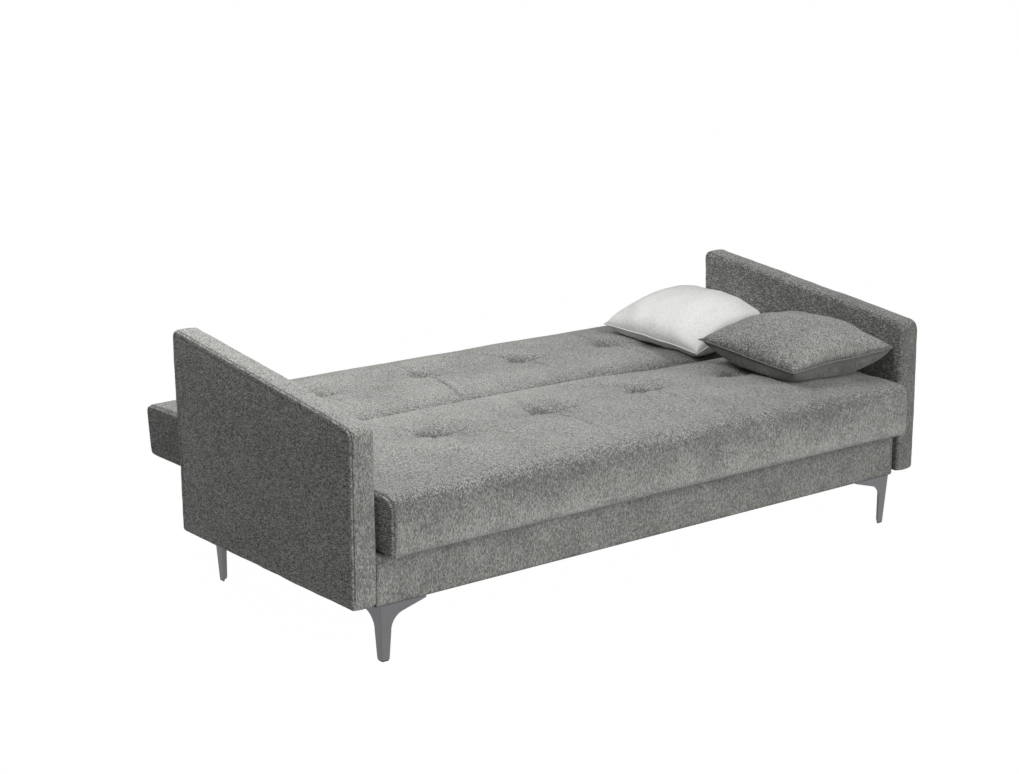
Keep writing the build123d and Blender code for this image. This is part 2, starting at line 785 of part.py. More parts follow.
def pillow_form(length, width, height, edge):
    """Lens-shaped sections along the pillow, thin at the ends, with its long sides pulled in."""
    stations = (-1.0, -0.93, -0.6, 0.0, 0.6, 0.93, 1.0)
    thickness_shares = (0.0, 0.30, 0.82, 1.0, 0.82, 0.30, 0.0)
    wires = []
    for t, share in zip(stations, thickness_shares):
        half = width / 2 - pillow_draw * (1 - t * t)
        rise = edge / 2 + (height - edge) / 2 * share
        y = t * (length / 2)
        left, right = Vector(-half, y, 0), Vector(half, y, 0)
        top, low = Vector(0, y, rise), Vector(0, y, -rise)
        wires.append(
            Wire([Edge.make_three_point_arc(left, top, right), Edge.make_three_point_arc(right, low, left)])
        )
    return Solid.make_loft(wires)


def laid(form, place, turn, floor, wall):
    """Turned and set on the bed, and pressed flat just above the bed's top and beside the arm."""
    form = form.moved(Location((0, 0, 0), turn)).moved(Location((place[0], place[1], crown_top + place[2])))
    reach = 2 * pillow_length
    x, y = place[:2]
    return form & block(x - reach, wall, y - reach, y + reach, floor, floor + reach)


def pillow(width, place, turn):
    floor = crown_top + pillow_rest_gap
    beside = inner_half - pillow_rest_gap
    outer = laid(pillow_form(pillow_length, width, pillow_height, pillow_edge), place, turn, floor, beside)
    wall = pillow_wall * 4
    fill_form = pillow_form(pillow_length - 2 * wall, width - 2 * wall, pillow_height - 2 * pillow_wall, pillow_wall)
    fill = laid(fill_form, place, turn, floor + pillow_wall, beside - pillow_wall)
    return outer - fill, fill


def main():
    os.makedirs("parts", exist_ok=True)
    names = {-1: "left", 1: "right"}
    rows = {-1: "front", 1: "rear"}

    for side in sides:
        save(f"arm_frame_{names[side]}", arm_frame(side))
        save(f"arm_skins_{names[side]}", arm_skins(side))
        save(f"arm_cover_{names[side]}", arm_cover(side))
        save(f"side_board_{names[side]}", side_board(side))
    save("arm_bolts", group(arm_bolt(side, y, z) for side in sides for y, z in arm_bolt_places()))

    for name, pair in (("front_rail", front_rail()), ("rear_rail", rear_rail())):
        save(name, pair[0])
        save(f"{name}_cover", pair[1])
    save("box_floor", box_floor())
    save("floor_bearers", floor_bearers())
    save("leg_blocks", group(leg_block(sx, sy) for sx, sy in leg_block_corners()))
    save("corner_braces", group(corner_brace(sx, sy) for sx, sy in leg_block_corners()))
    save("brace_screws", brace_screws())
    for sx, sy in leg_block_corners():
        save(f"leg_{rows[sy]}_{names[sx]}", leg_node(sx, sy))
    save("leg_glides", group(leg_glide(sx, sy) for sx, sy in leg_block_corners()))
    screws = [place for sx, sy in leg_block_corners() for place in leg_screw_places(sx, sy)]
    save("leg_screws", group(leg_screw(*place) for place in screws))

    seat_holes = [seat_screw(side, y, z, screw_clearance) for side in sides for y, z in seat_screw_places()]
    back_holes = [back_screw(side, y, z, screw_clearance) for side in sides for y, z in back_screw_places()]
    seat_lows = (pad_bottom_round, pad_bottom_round, 0)
    back_lows = (back_heel_round, pad_bottom_round, back_far_lean)
    pads = {
        "seat": (seat_front, seat_rear, seat_lows, seat_rear - seat_tuft_setback, seat_holes),
        "back": (back_inner, back_far, back_lows, back_far - back_tuft_setback, back_holes),
    }
    for name, (y0, y1, lows, tuft_y, holes) in pads.items():
        save(f"{name}_cover", pad_cover(y0, y1, lows, tuft_y, holes))
        y1 = y1 - lows[2]
        save(f"{name}_foam", pad_foam(y0, y1, tuft_y))
        save(f"{name}_deck", pad_deck(y0, y1, tuft_y))
        save(f"{name}_near_rail", frame_rail(y0, y1, 0))
        save(f"{name}_far_rail", frame_rail(y0, y1, 1))
        save(f"{name}_cross_rails", cross_rails(y0, y1, tuft_y, holes))
        save(f"{name}_lining", pad_lining(y0, y1))
        save(f"{name}_tuft_ties", tuft_ties(tuft_y))

    for side in sides:
        save(f"seat_hinge_plate_{names[side]}", seat_plate(side))
        save(f"back_hinge_plate_{names[side]}", back_plate(side))
        save(f"fold_pin_{names[side]}", fold_pin_part(side))
        save(f"lift_bracket_{names[side]}", lift_bracket(side))
    save("lift_bushes", group(lift_bush(side) for side in sides))
    save("lift_washers", group(lift_washer(side) for side in sides))
    save("bracket_screws", group(bracket_screw(side, y, z) for side in sides for y, z in bracket_screw_places()))
    save("seat_plate_screws", group(seat_screw(side, y, z) for side in sides for y, z in seat_screw_places()))
    save("seat_plate_spacers", group(seat_spacer(side, y, z) for side in sides for y, z in seat_screw_places()))
    save("back_plate_screws", group(back_screw(side, y, z) for side in sides for y, z in back_screw_places()))
    save("back_plate_washers", group(back_spacer(side, y, z) for side in sides for y, z in back_screw_places()))

    for name, args in {
        "grey_pillow": (grey_pillow_width, grey_pillow_place, grey_pillow_turn),
        "white_pillow": (white_pillow_width, white_pillow_place, white_pillow_turn),
    }.items():
        cover, fill = pillow(*args)
        save(f"{name}_cover", cover)
        save(f"{name}_fill", fill)


main()
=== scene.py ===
import json
import math

import bmesh
import bpy
import numpy as np
from mathutils import Matrix, Vector
from mathutils.bvhtree import BVHTree


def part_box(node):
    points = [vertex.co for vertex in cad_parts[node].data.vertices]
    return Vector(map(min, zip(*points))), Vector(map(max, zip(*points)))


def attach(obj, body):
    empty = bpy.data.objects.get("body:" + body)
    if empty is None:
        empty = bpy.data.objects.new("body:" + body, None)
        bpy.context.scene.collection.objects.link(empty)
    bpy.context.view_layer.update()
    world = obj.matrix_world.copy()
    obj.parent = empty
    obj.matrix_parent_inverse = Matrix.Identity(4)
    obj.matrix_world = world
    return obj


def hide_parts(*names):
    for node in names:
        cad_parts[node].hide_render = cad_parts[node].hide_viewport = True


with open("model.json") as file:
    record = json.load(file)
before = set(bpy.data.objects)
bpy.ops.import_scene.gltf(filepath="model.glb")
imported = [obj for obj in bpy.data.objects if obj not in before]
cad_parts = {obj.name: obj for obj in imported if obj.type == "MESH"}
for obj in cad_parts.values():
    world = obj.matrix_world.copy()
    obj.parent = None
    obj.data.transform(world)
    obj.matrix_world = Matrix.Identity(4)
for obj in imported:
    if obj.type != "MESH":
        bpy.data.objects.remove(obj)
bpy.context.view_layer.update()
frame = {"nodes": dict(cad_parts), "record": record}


# Camera: a long lens at the left front corner, a little above the pads. It looks along the line that
# was solved from the photo's straight edges.
camera_place = Vector((-3.5494, -4.3663, 1.8362))
camera_look = Vector((0.6030, 0.7614, -0.2380))
camera_lens_mm = 70.55
camera_data = bpy.data.cameras.new("camera")
camera_data.sensor_width = 36.0
camera_data.lens = camera_lens_mm
camera = bpy.data.objects.new("camera", camera_data)
camera.location = camera_place
camera.rotation_euler = camera_look.to_track_quat("-Z", "Y").to_euler()
bpy.context.collection.objects.link(camera)
bpy.context.scene.camera = camera
bpy.context.scene.view_settings.view_transform = "Standard"


# Studio: a pale floor, a soft box over the left rear of the bed, whose light fades to the right, and a
# broad light from the front. The background is white to the camera and in gloss, and the room is dim.
def new_material(name):
    material = bpy.data.materials.new(name)
    material.use_nodes = True
    nodes = material.node_tree.nodes
    nodes.clear()
    return material, nodes, material.node_tree.links


def seen_directly(nodes, links):
    """1 for rays from the camera, and for reflected and refracted ones."""
    path = nodes.new("ShaderNodeLightPath")
    either = nodes.new("ShaderNodeMath")
    either.operation = "MAXIMUM"
    links.new(path.outputs["Is Camera Ray"], either.inputs[0])
    links.new(path.outputs["Is Glossy Ray"], either.inputs[1])
    every = nodes.new("ShaderNodeMath")
    every.operation = "MAXIMUM"
    links.new(either.outputs[0], every.inputs[0])
    links.new(path.outputs["Is Transmission Ray"], every.inputs[1])
    return every.outputs[0]


def studio_world(strength):
    world = bpy.data.worlds.new("studio")
    world.use_nodes = True
    nodes, links = world.node_tree.nodes, world.node_tree.links
    nodes.clear()
    white = nodes.new("ShaderNodeBackground")
    grey = nodes.new("ShaderNodeBackground")
    grey.inputs["Strength"].default_value = strength
    mix = nodes.new("ShaderNodeMixShader")
    out = nodes.new("ShaderNodeOutputWorld")
    links.new(seen_directly(nodes, links), mix.inputs[0])
    links.new(grey.outputs[0], mix.inputs[1])
    links.new(white.outputs[0], mix.inputs[2])
    links.new(mix.outputs[0], out.inputs["Surface"])
    white.inputs["Color"].default_value = (1, 1, 1, 1)
    grey.inputs["Color"].default_value = (1, 1, 1, 1)
    bpy.context.scene.world = world


def studio_floor(half, glow, albedo, brightness):
    material, nodes, links = new_material("pale_floor")
    matt = nodes.new("ShaderNodeBsdfDiffuse")
    matt.inputs["Color"].default_value = (albedo, albedo, albedo, 1)
    light = nodes.new("ShaderNodeEmission")
    light.inputs["Strength"].default_value = brightness
    share = nodes.new("ShaderNodeMath")
    share.operation = "MULTIPLY"
    share.inputs[1].default_value = glow
    mix = nodes.new("ShaderNodeMixShader")
    out = nodes.new("ShaderNodeOutputMaterial")
    links.new(seen_directly(nodes, links), share.inputs[0])
    links.new(share.outputs[0], mix.inputs[0])
    links.new(matt.outputs[0], mix.inputs[1])
    links.new(light.outputs[0], mix.inputs[2])
    links.new(mix.outputs[0], out.inputs["Surface"])
    mesh = bpy.data.meshes.new("floor")
    corners = [(-half, -half, 0), (half, -half, 0), (half, half, 0), (-half, half, 0)]
    mesh.from_pydata(corners, [], [(0, 1, 2, 3)])
    mesh.materials.append(material)
    floor = bpy.data.objects.new("floor", mesh)
    bpy.context.collection.objects.link(floor)


def far_light(name, towards, strength, degrees):
    """A broad light so far off that it falls evenly on the whole sofa."""
    data = bpy.data.lights.new(name, "SUN")
    data.energy = strength
    data.angle = math.radians(degrees)
    lamp = bpy.data.objects.new(name, data)
    lamp.location = Vector(towards) * 5
    lamp.rotation_euler = (-Vector(towards)).to_track_quat("-Z", "Y").to_euler()
    bpy.context.collection.objects.link(lamp)


def soft_box(name, place, aim, size, watts):
    data = bpy.data.lights.new(name, "AREA")
    data.size = size
    data.energy = watts
    lamp = bpy.data.objects.new(name, data)
    lamp.location = place
    lamp.rotation_euler = (Vector(aim) - Vector(place)).to_track_quat("-Z", "Y").to_euler()
    bpy.context.collection.objects.link(lamp)


studio_world(strength=0.125)
studio_floor(half=30.0, glow=0.985, albedo=0.42, brightness=1.01)
soft_box("top_light", place=(-0.75, 0.50, 2.45), aim=(-0.35, 0.05, 0.45), size=1.5, watts=35.0)
far_light("front_light", towards=(0.12, -0.93, 0.34), strength=2.3, degrees=50)


# Chenille: the sofa's cover is a heathered grey pile yarn, woven in short flecks that lie across
# the pads, down their fronts, and level on the arms' sides. Painted shade darkens it in seams and
# tucks, and painted light makes other places paler or darker.
def mesh_attribute(mesh, name, values):
    """One number a point, which a material reads by name."""
    layer = mesh.attributes.new(name, "FLOAT", "POINT")
    layer.data.foreach_set("value", np.asarray(values, dtype=np.float32))


def cloth_marks(mesh, normals, painted_shade, painted_light=0.0):
    """What the cloth's material reads: sides, painted shade in tucks and seams, painted light, and the pile's
    depth.
    """
    flat = np.zeros(len(normals))
    mesh_attribute(mesh, "side_face", np.abs(normals[:, 0]))
    mesh_attribute(mesh, "painted_shade", flat + painted_shade)
    mesh_attribute(mesh, "painted_light", flat + painted_light)
    mesh_attribute(mesh, "pile", 0.62 + 0.95 * np.clip(normals[:, 2], 0, 1) ** 2 + 0.75 * normals[:, 0] ** 2)


def math_node(nodes, links, operation, a, b, clamp=False):
    node = nodes.new("ShaderNodeMath")
    node.operation = operation
    node.use_clamp = clamp
    for number, value in enumerate((a, b)):
        if isinstance(value, (int, float)):
            node.inputs[number].default_value = value
        else:
            links.new(value, node.inputs[number])
    return node.outputs[0]


def vector_product(nodes, links, vector, factors):
    node = nodes.new("ShaderNodeVectorMath")
    node.operation = "MULTIPLY"
    links.new(vector, node.inputs[0])
    if isinstance(factors, tuple):
        node.inputs[1].default_value = factors
    else:
        links.new(factors, node.inputs[1])
    return node.outputs[0]


def stretched_noise(nodes, links, vector, stretch, detail, rough):
    """Noise on coordinates multiplied by a stretch, in cycles a metre. Small numbers give long streaks."""
    texture = nodes.new("ShaderNodeTexNoise")
    texture.inputs["Scale"].default_value = 1.0
    texture.inputs["Detail"].default_value = detail
    texture.inputs["Roughness"].default_value = rough
    links.new(vector_product(nodes, links, vector, stretch), texture.inputs["Vector"])
    return texture.outputs["Fac"]


def mixed(nodes, links, factor, a, b, kind="RGBA"):
    node = nodes.new("ShaderNodeMix")
    node.data_type = kind
    for name, value in (("Factor", factor), ("A", a), ("B", b)):
        target = [s for s in node.inputs if s.name == name and s.enabled][0]
        if isinstance(value, (int, float, tuple)):
            target.default_value = value
        else:
            links.new(value, target)
    return [s for s in node.outputs if s.enabled][0]


def carried(nodes, name):
    """What the mesh carries under a name, for a material to read."""
    node = nodes.new("ShaderNodeAttribute")
    node.attribute_name = name
    return node


# how much each layer of the weave adds to its tone, how far painted light moves it, and how dark painted
# shade makes it
yarn_amount = 1.35
grain_amount = 1.25
fuzz_amount = 1.0
cloud_amount = 0.55
painted_light_amount = 0.30
painted_shade_amount = 0.85
painted_shade_colour = (0.022, 0.022, 0.020, 1)


def weave_group():
    """Yarn colours and pile height, from a place on the cloth and the flecks' length each way."""
    tree = bpy.data.node_groups.new("chenille_weave", "ShaderNodeTree")
    inputs = (("Place", "NodeSocketVector"), ("Stretch", "NodeSocketVector"), ("Dark", "NodeSocketColor"),
              ("Middle", "NodeSocketColor"), ("Light", "NodeSocketColor"), ("Contrast", "NodeSocketFloat"),
              ("Fold", "NodeSocketFloat"), ("Painted Light", "NodeSocketFloat"))
    for name, kind in inputs:
        tree.interface.new_socket(name=name, in_out="INPUT", socket_type=kind)
    results = (("Color", "NodeSocketColor"), ("Height", "NodeSocketFloat"), ("Rough", "NodeSocketFloat"))
    for name, kind in results:
        tree.interface.new_socket(name=name, in_out="OUTPUT", socket_type=kind)
    nodes, links = tree.nodes, tree.links
    given = nodes.new("NodeGroupInput")
    result = nodes.new("NodeGroupOutput")
    place = given.outputs["Place"]

    def plus(a, b, clamp=False):
        return math_node(nodes, links, "ADD", a, b, clamp)

    def minus(a, b, clamp=False):
        return math_node(nodes, links, "SUBTRACT", a, b, clamp)

    def times(a, b, clamp=False):
        return math_node(nodes, links, "MULTIPLY", a, b, clamp)

    cells = nodes.new("ShaderNodeTexVoronoi")
    cells.inputs["Scale"].default_value = 1.0
    cells.inputs["Randomness"].default_value = 1.0
    links.new(vector_product(nodes, links, place, given.outputs["Stretch"]), cells.inputs["Vector"])
    split = nodes.new("ShaderNodeSeparateColor")
    links.new(cells.outputs["Color"], split.inputs[0])
    fleck = split.outputs[0]
    round_yarn = minus(1.0, cells.outputs["Distance"], clamp=True)
    streak = stretched_noise(nodes, links, place, given.outputs["Stretch"], 2.0, 0.65)
    nap = stretched_noise(nodes, links, place, (900.0, 900.0, 900.0), 1.0, 0.5)
    cloud = stretched_noise(nodes, links, place, (9.0, 9.0, 9.0), 3.0, 0.5)
    yarn = times(minus(fleck, 0.5), yarn_amount)
    grain = times(minus(streak, 0.5), grain_amount)
    fuzz = times(minus(nap, 0.5), fuzz_amount)
    soft = times(minus(cloud, 0.5), cloud_amount)
    tone = times(plus(plus(yarn, grain), fuzz), given.outputs["Contrast"])
    # painted light moves the whole tone paler or darker
    base = plus(times(given.outputs["Painted Light"], painted_light_amount), 0.5)
    tone = plus(plus(tone, soft), base, clamp=True)
    low = times(tone, 2.0, clamp=True)
    high = minus(times(tone, 2.0), 1.0, clamp=True)
    dark_half = mixed(nodes, links, low, given.outputs["Dark"], given.outputs["Middle"])
    colour = mixed(nodes, links, high, dark_half, given.outputs["Light"])
    # painted shade mixes the colour towards near black
    shade = times(given.outputs["Fold"], painted_shade_amount, clamp=True)
    links.new(mixed(nodes, links, shade, colour, painted_shade_colour), result.inputs["Color"])
    links.new(plus(times(round_yarn, 0.5), times(streak, 0.9)), result.inputs["Height"])
    links.new(minus(1.0, times(tone, 0.15)), result.inputs["Rough"])
    return tree


weave = weave_group()


def fabric(name, stretch, side_stretch, colours, contrast=1.0, bump_mm=0.7, flat_place=False):
    """Cloth whose flecks follow the object's axes, or on pillows the flat pattern it was cut from."""
    material, nodes, links = new_material(name)
    cloth = nodes.new("ShaderNodeGroup")
    cloth.node_tree = weave
    if flat_place:
        links.new(carried(nodes, "flat_place").outputs["Vector"], cloth.inputs["Place"])
    else:
        links.new(nodes.new("ShaderNodeTexCoord").outputs["Object"], cloth.inputs["Place"])
    if side_stretch:
        turned = math_node(nodes, links, "GREATER_THAN", carried(nodes, "side_face").outputs["Fac"], 0.5)
        links.new(mixed(nodes, links, turned, stretch, side_stretch, "VECTOR"), cloth.inputs["Stretch"])
    else:
        cloth.inputs["Stretch"].default_value = stretch
    for attribute, socket_name in (("painted_shade", "Fold"), ("painted_light", "Painted Light")):
        links.new(carried(nodes, attribute).outputs["Fac"], cloth.inputs[socket_name])
    for socket_name, colour in zip(("Dark", "Middle", "Light"), colours):
        cloth.inputs[socket_name].default_value = (*colour, 1)
    pile = carried(nodes, "pile").outputs["Fac"]
    links.new(math_node(nodes, links, "MULTIPLY", pile, contrast), cloth.inputs["Contrast"])
    bump = nodes.new("ShaderNodeBump")
    bump.inputs["Strength"].default_value = 0.7
    bump.inputs["Distance"].default_value = bump_mm / 1000
    shader = nodes.new("ShaderNodeBsdfPrincipled")
    shader.inputs["Specular IOR Level"].default_value = 0.12
    shader.inputs["Sheen Weight"].default_value = 0.2
    shader.inputs["Sheen Roughness"].default_value = 0.6
    out = nodes.new("ShaderNodeOutputMaterial")
    links.new(cloth.outputs["Color"], shader.inputs["Base Color"])
    links.new(cloth.outputs["Rough"], shader.inputs["Roughness"])
    links.new(cloth.outputs["Height"], bump.inputs["Height"])
    links.new(bump.outputs[0], shader.inputs["Normal"])
    links.new(shader.outputs[0], out.inputs["Surface"])
    return material


grey_yarns = ((0.116, 0.116, 0.108), (0.268, 0.268, 0.253), (0.500, 0.500, 0.476))
white_yarns = ((0.84, 0.835, 0.82), (0.95, 0.945, 0.935), (0.99, 0.99, 0.98))
chenille = fabric("grey_chenille", (640.0, 380.0, 190.0), (190.0, 230.0, 500.0), grey_yarns)


# Arms: a slim timber and hardboard panel under foam and chenille. The cover is cut as two side panels
# and a band round the rim. The outer seam is turned in, and a row of stitches runs beside it.
def new_object(name, mesh, material):
    mesh.materials.append(material)
    piece = bpy.data.objects.new(name, mesh)
    bpy.context.collection.objects.link(piece)
    mesh.polygons.foreach_set("use_smooth", [True] * len(mesh.polygons))
    return piece


def applied(piece):
    """Bakes the piece's modifiers into its mesh."""
    graph = bpy.context.evaluated_depsgraph_get()
    mesh = bpy.data.meshes.new_from_object(piece.evaluated_get(graph))
    piece.modifiers.clear()
    old = piece.data
    piece.data = mesh
    bpy.data.meshes.remove(old)
    mesh.polygons.foreach_set("use_smooth", [True] * len(mesh.polygons))


def points_of(mesh):
    points = np.empty(len(mesh.vertices) * 3)
    mesh.vertices.foreach_get("co", points)
    return points.reshape(-1, 3)


def set_points(mesh, points):
    mesh.vertices.foreach_set("co", points.reshape(-1))
    mesh.update()


def normals_of(mesh):
    values = np.empty(len(mesh.vertices) * 3)
    mesh.vertex_normals.foreach_get("vector", values)
    return values.reshape(-1, 3)


def ramp(values):
    return np.clip(values, 0, 1)


def eased(values):
    """A ramp with a soft start and a soft end."""
    share = ramp(values)
    return share ** 2 * (3 - 2 * share)


def bell(distance, width):
    """1 where there is no distance, falling away to both sides."""
    return np.exp(-((distance / width) ** 2))


def waves(points, sizes_m, heights_m, seed):
    """Smooth, repeatable unevenness: a few crossed sine waves of each size, summed at every point."""
    random = np.random.default_rng(seed)
    total = np.zeros(len(points))
    for size, height in zip(sizes_m, heights_m):
        for _ in range(6):
            direction = random.normal(size=3)
            direction /= np.linalg.norm(direction)
            phase = random.uniform(0, 2 * math.pi)
            total += height / 3 * np.sin(points @ direction * (2 * math.pi / size) + phase)
    return total


def rounded_outline(corners, radii, steps):
    """A closed outline through the corners, each rounded with an arc of its radius."""
    result = []
    for n, (corner, radius) in enumerate(zip(corners, radii)):
        before = (corners[n - 1] - corner).normalized()
        after = (corners[(n + 1) % len(corners)] - corner).normalized()
        half = before.angle(after) / 2
        run = radius / math.tan(half)
        centre = corner + (before + after).normalized() * (radius / math.sin(half))
        start = corner + before * run - centre
        stop = corner + after * run - centre
        for step in range(steps + 1):
            result.append(centre + start.lerp(stop, step / steps).normalized() * radius)
    return np.array([(p.x, p.y) for p in result])


def resampled(outline, gap_at):
    """The same closed outline with new points, whose spacing depends on the place."""
    closed = np.vstack([outline, outline[:1]])
    run = np.concatenate([[0], np.cumsum(np.hypot(*np.diff(closed, axis=0).T))])
    fine = np.linspace(0, run[-1], 4000)
    places = np.column_stack([np.interp(fine, run, closed[:, k]) for k in (0, 1)])
    steps = np.concatenate([[0], np.cumsum(np.diff(fine) / gap_at(places[1:]))])
    count = int(round(steps[-1]))
    at = np.interp(np.linspace(0, steps[-1], count, endpoint=False), steps, fine)
    return np.column_stack([np.interp(at, run, closed[:, k]) for k in (0, 1)])


def inward(outline):
    """Unit directions into a closed outline that runs anticlockwise."""
    tangent = np.roll(outline, -1, 0) - np.roll(outline, 1, 0)
    tangent /= np.hypot(*tangent.T)[:, None]
    return np.column_stack([-tangent[:, 1], tangent[:, 0]])


def core_line(outline, half_run):
    """For each outline point, the nearest point of a level line through the outline's middle."""
    middle = (outline.min(0) + outline.max(0)) / 2
    return np.column_stack([
        np.clip(outline[:, 0], middle[0] - half_run, middle[0] + half_run),
        np.full(len(outline), middle[1]),
    ])


def section(outline, into, core, x, inset=0.0, share=0.0):
    """The outline at x, drawn in by the inset and then by a share of the way to its core."""
    flat = outline + into * inset
    flat = flat + (core - flat) * share
    return np.column_stack([np.full(len(flat), x), flat])


def skin(name, rings):
    """A closed mesh through rings of equally many points. The first and last ring lie on a line."""
    count = len(rings[0])
    faces = []
    for level in range(len(rings) - 1):
        base = level * count
        for n in range(count):
            m = (n + 1) % count
            faces.append((base + n, base + m, base + count + m, base + count + n))
    mesh = bpy.data.meshes.new(name)
    mesh.from_pydata(np.vstack(rings).tolist(), [], faces)
    bm = bmesh.new()
    bm.from_mesh(mesh)
    bmesh.ops.remove_doubles(bm, verts=bm.verts, dist=0.0004)
    bmesh.ops.recalc_face_normals(bm, faces=bm.faces)
    bm.to_mesh(mesh)
    bm.free()
    return mesh


def stitch_tree():
    """Short thread ends laid at an even pitch along a seam."""
    tree = bpy.data.node_groups.new("seam_stitches", "GeometryNodeTree")
    tree.is_modifier = True
    tree.interface.new_socket(name="Seam", in_out="INPUT", socket_type="NodeSocketGeometry")
    for name, kind in (("Pitch", "NodeSocketFloat"), ("Length", "NodeSocketFloat"),
                       ("Thickness", "NodeSocketFloat"), ("Thread", "NodeSocketMaterial")):
        tree.interface.new_socket(name=name, in_out="INPUT", socket_type=kind)
    tree.interface.new_socket(name="Stitches", in_out="OUTPUT", socket_type="NodeSocketGeometry")
    nodes, links = tree.nodes, tree.links
    given = nodes.new("NodeGroupInput")
    result = nodes.new("NodeGroupOutput")
    line = nodes.new("GeometryNodeMeshToCurve")
    spots = nodes.new("GeometryNodeCurveToPoints")
    spots.mode = "LENGTH"
    bead = nodes.new("GeometryNodeMeshUVSphere")
    bead.inputs["Segments"].default_value = 6
    bead.inputs["Rings"].default_value = 4
    bead.inputs["Radius"].default_value = 0.5
    size = nodes.new("ShaderNodeCombineXYZ")
    shaped = nodes.new("GeometryNodeTransform")
    laid_out = nodes.new("GeometryNodeInstanceOnPoints")
    real = nodes.new("GeometryNodeRealizeInstances")
    finish = nodes.new("GeometryNodeSetMaterial")
    links.new(given.outputs["Seam"], line.inputs["Mesh"])
    links.new(line.outputs["Curve"], spots.inputs["Curve"])
    links.new(given.outputs["Pitch"], spots.inputs["Length"])
    for axis, name in (("X", "Thickness"), ("Y", "Thickness"), ("Z", "Length")):
        links.new(given.outputs[name], size.inputs[axis])
    links.new(bead.outputs["Mesh"], shaped.inputs["Geometry"])
    links.new(size.outputs[0], shaped.inputs["Scale"])
    links.new(spots.outputs["Points"], laid_out.inputs["Points"])
    links.new(spots.outputs["Rotation"], laid_out.inputs["Rotation"])
    links.new(shaped.outputs["Geometry"], laid_out.inputs["Instance"])
    links.new(laid_out.outputs["Instances"], real.inputs["Geometry"])
    links.new(real.outputs["Geometry"], finish.inputs["Geometry"])
    links.new(given.outputs["Thread"], finish.inputs["Material"])
    links.new(finish.outputs["Geometry"], result.inputs["Stitches"])
    return tree


stitch_nodes = stitch_tree()
thread = fabric("grey_thread", (900.0, 900.0, 900.0), None,
                ((0.07, 0.07, 0.065), (0.17, 0.17, 0.16), (0.30, 0.30, 0.285)), bump_mm=0.1)


def stitches(name, body, route, pitch, length, thickness):
    """Stitches along an open line of points, as one mesh on one body."""
    mesh = bpy.data.meshes.new(name)
    mesh.from_pydata(route, [(n, n + 1) for n in range(len(route) - 1)], [])
    piece = bpy.data.objects.new(name, mesh)
    bpy.context.collection.objects.link(piece)
    sewn = piece.modifiers.new("stitches", "NODES")
    sewn.node_group = stitch_nodes
    sockets = stitch_nodes.interface.items_tree
    given = {item.name: item.identifier for item in sockets if item.in_out == "INPUT"}
    sewn[given["Pitch"]] = pitch
    sewn[given["Length"]] = length
    sewn[given["Thickness"]] = thickness
    sewn[given["Thread"]] = thread
    applied(piece)
    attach(piece, body)


arm_front_height = 0.614
arm_back_height = 0.720
arm_rear_lean = 0.019
arm_nap = 0.0022
arm_rear_wadding = 0.010
outer_edge_round = 0.007
inner_edge_round = 0.014
arm_rounds = (0.012, 0.012, 0.022, 0.034)
arm_fullness = 0.003
arm_core_half = 0.16
panel_gap = 0.0062
outer_seam_in = 0.0042
second_row_in = 0.0165
pucker_pitch = 0.013


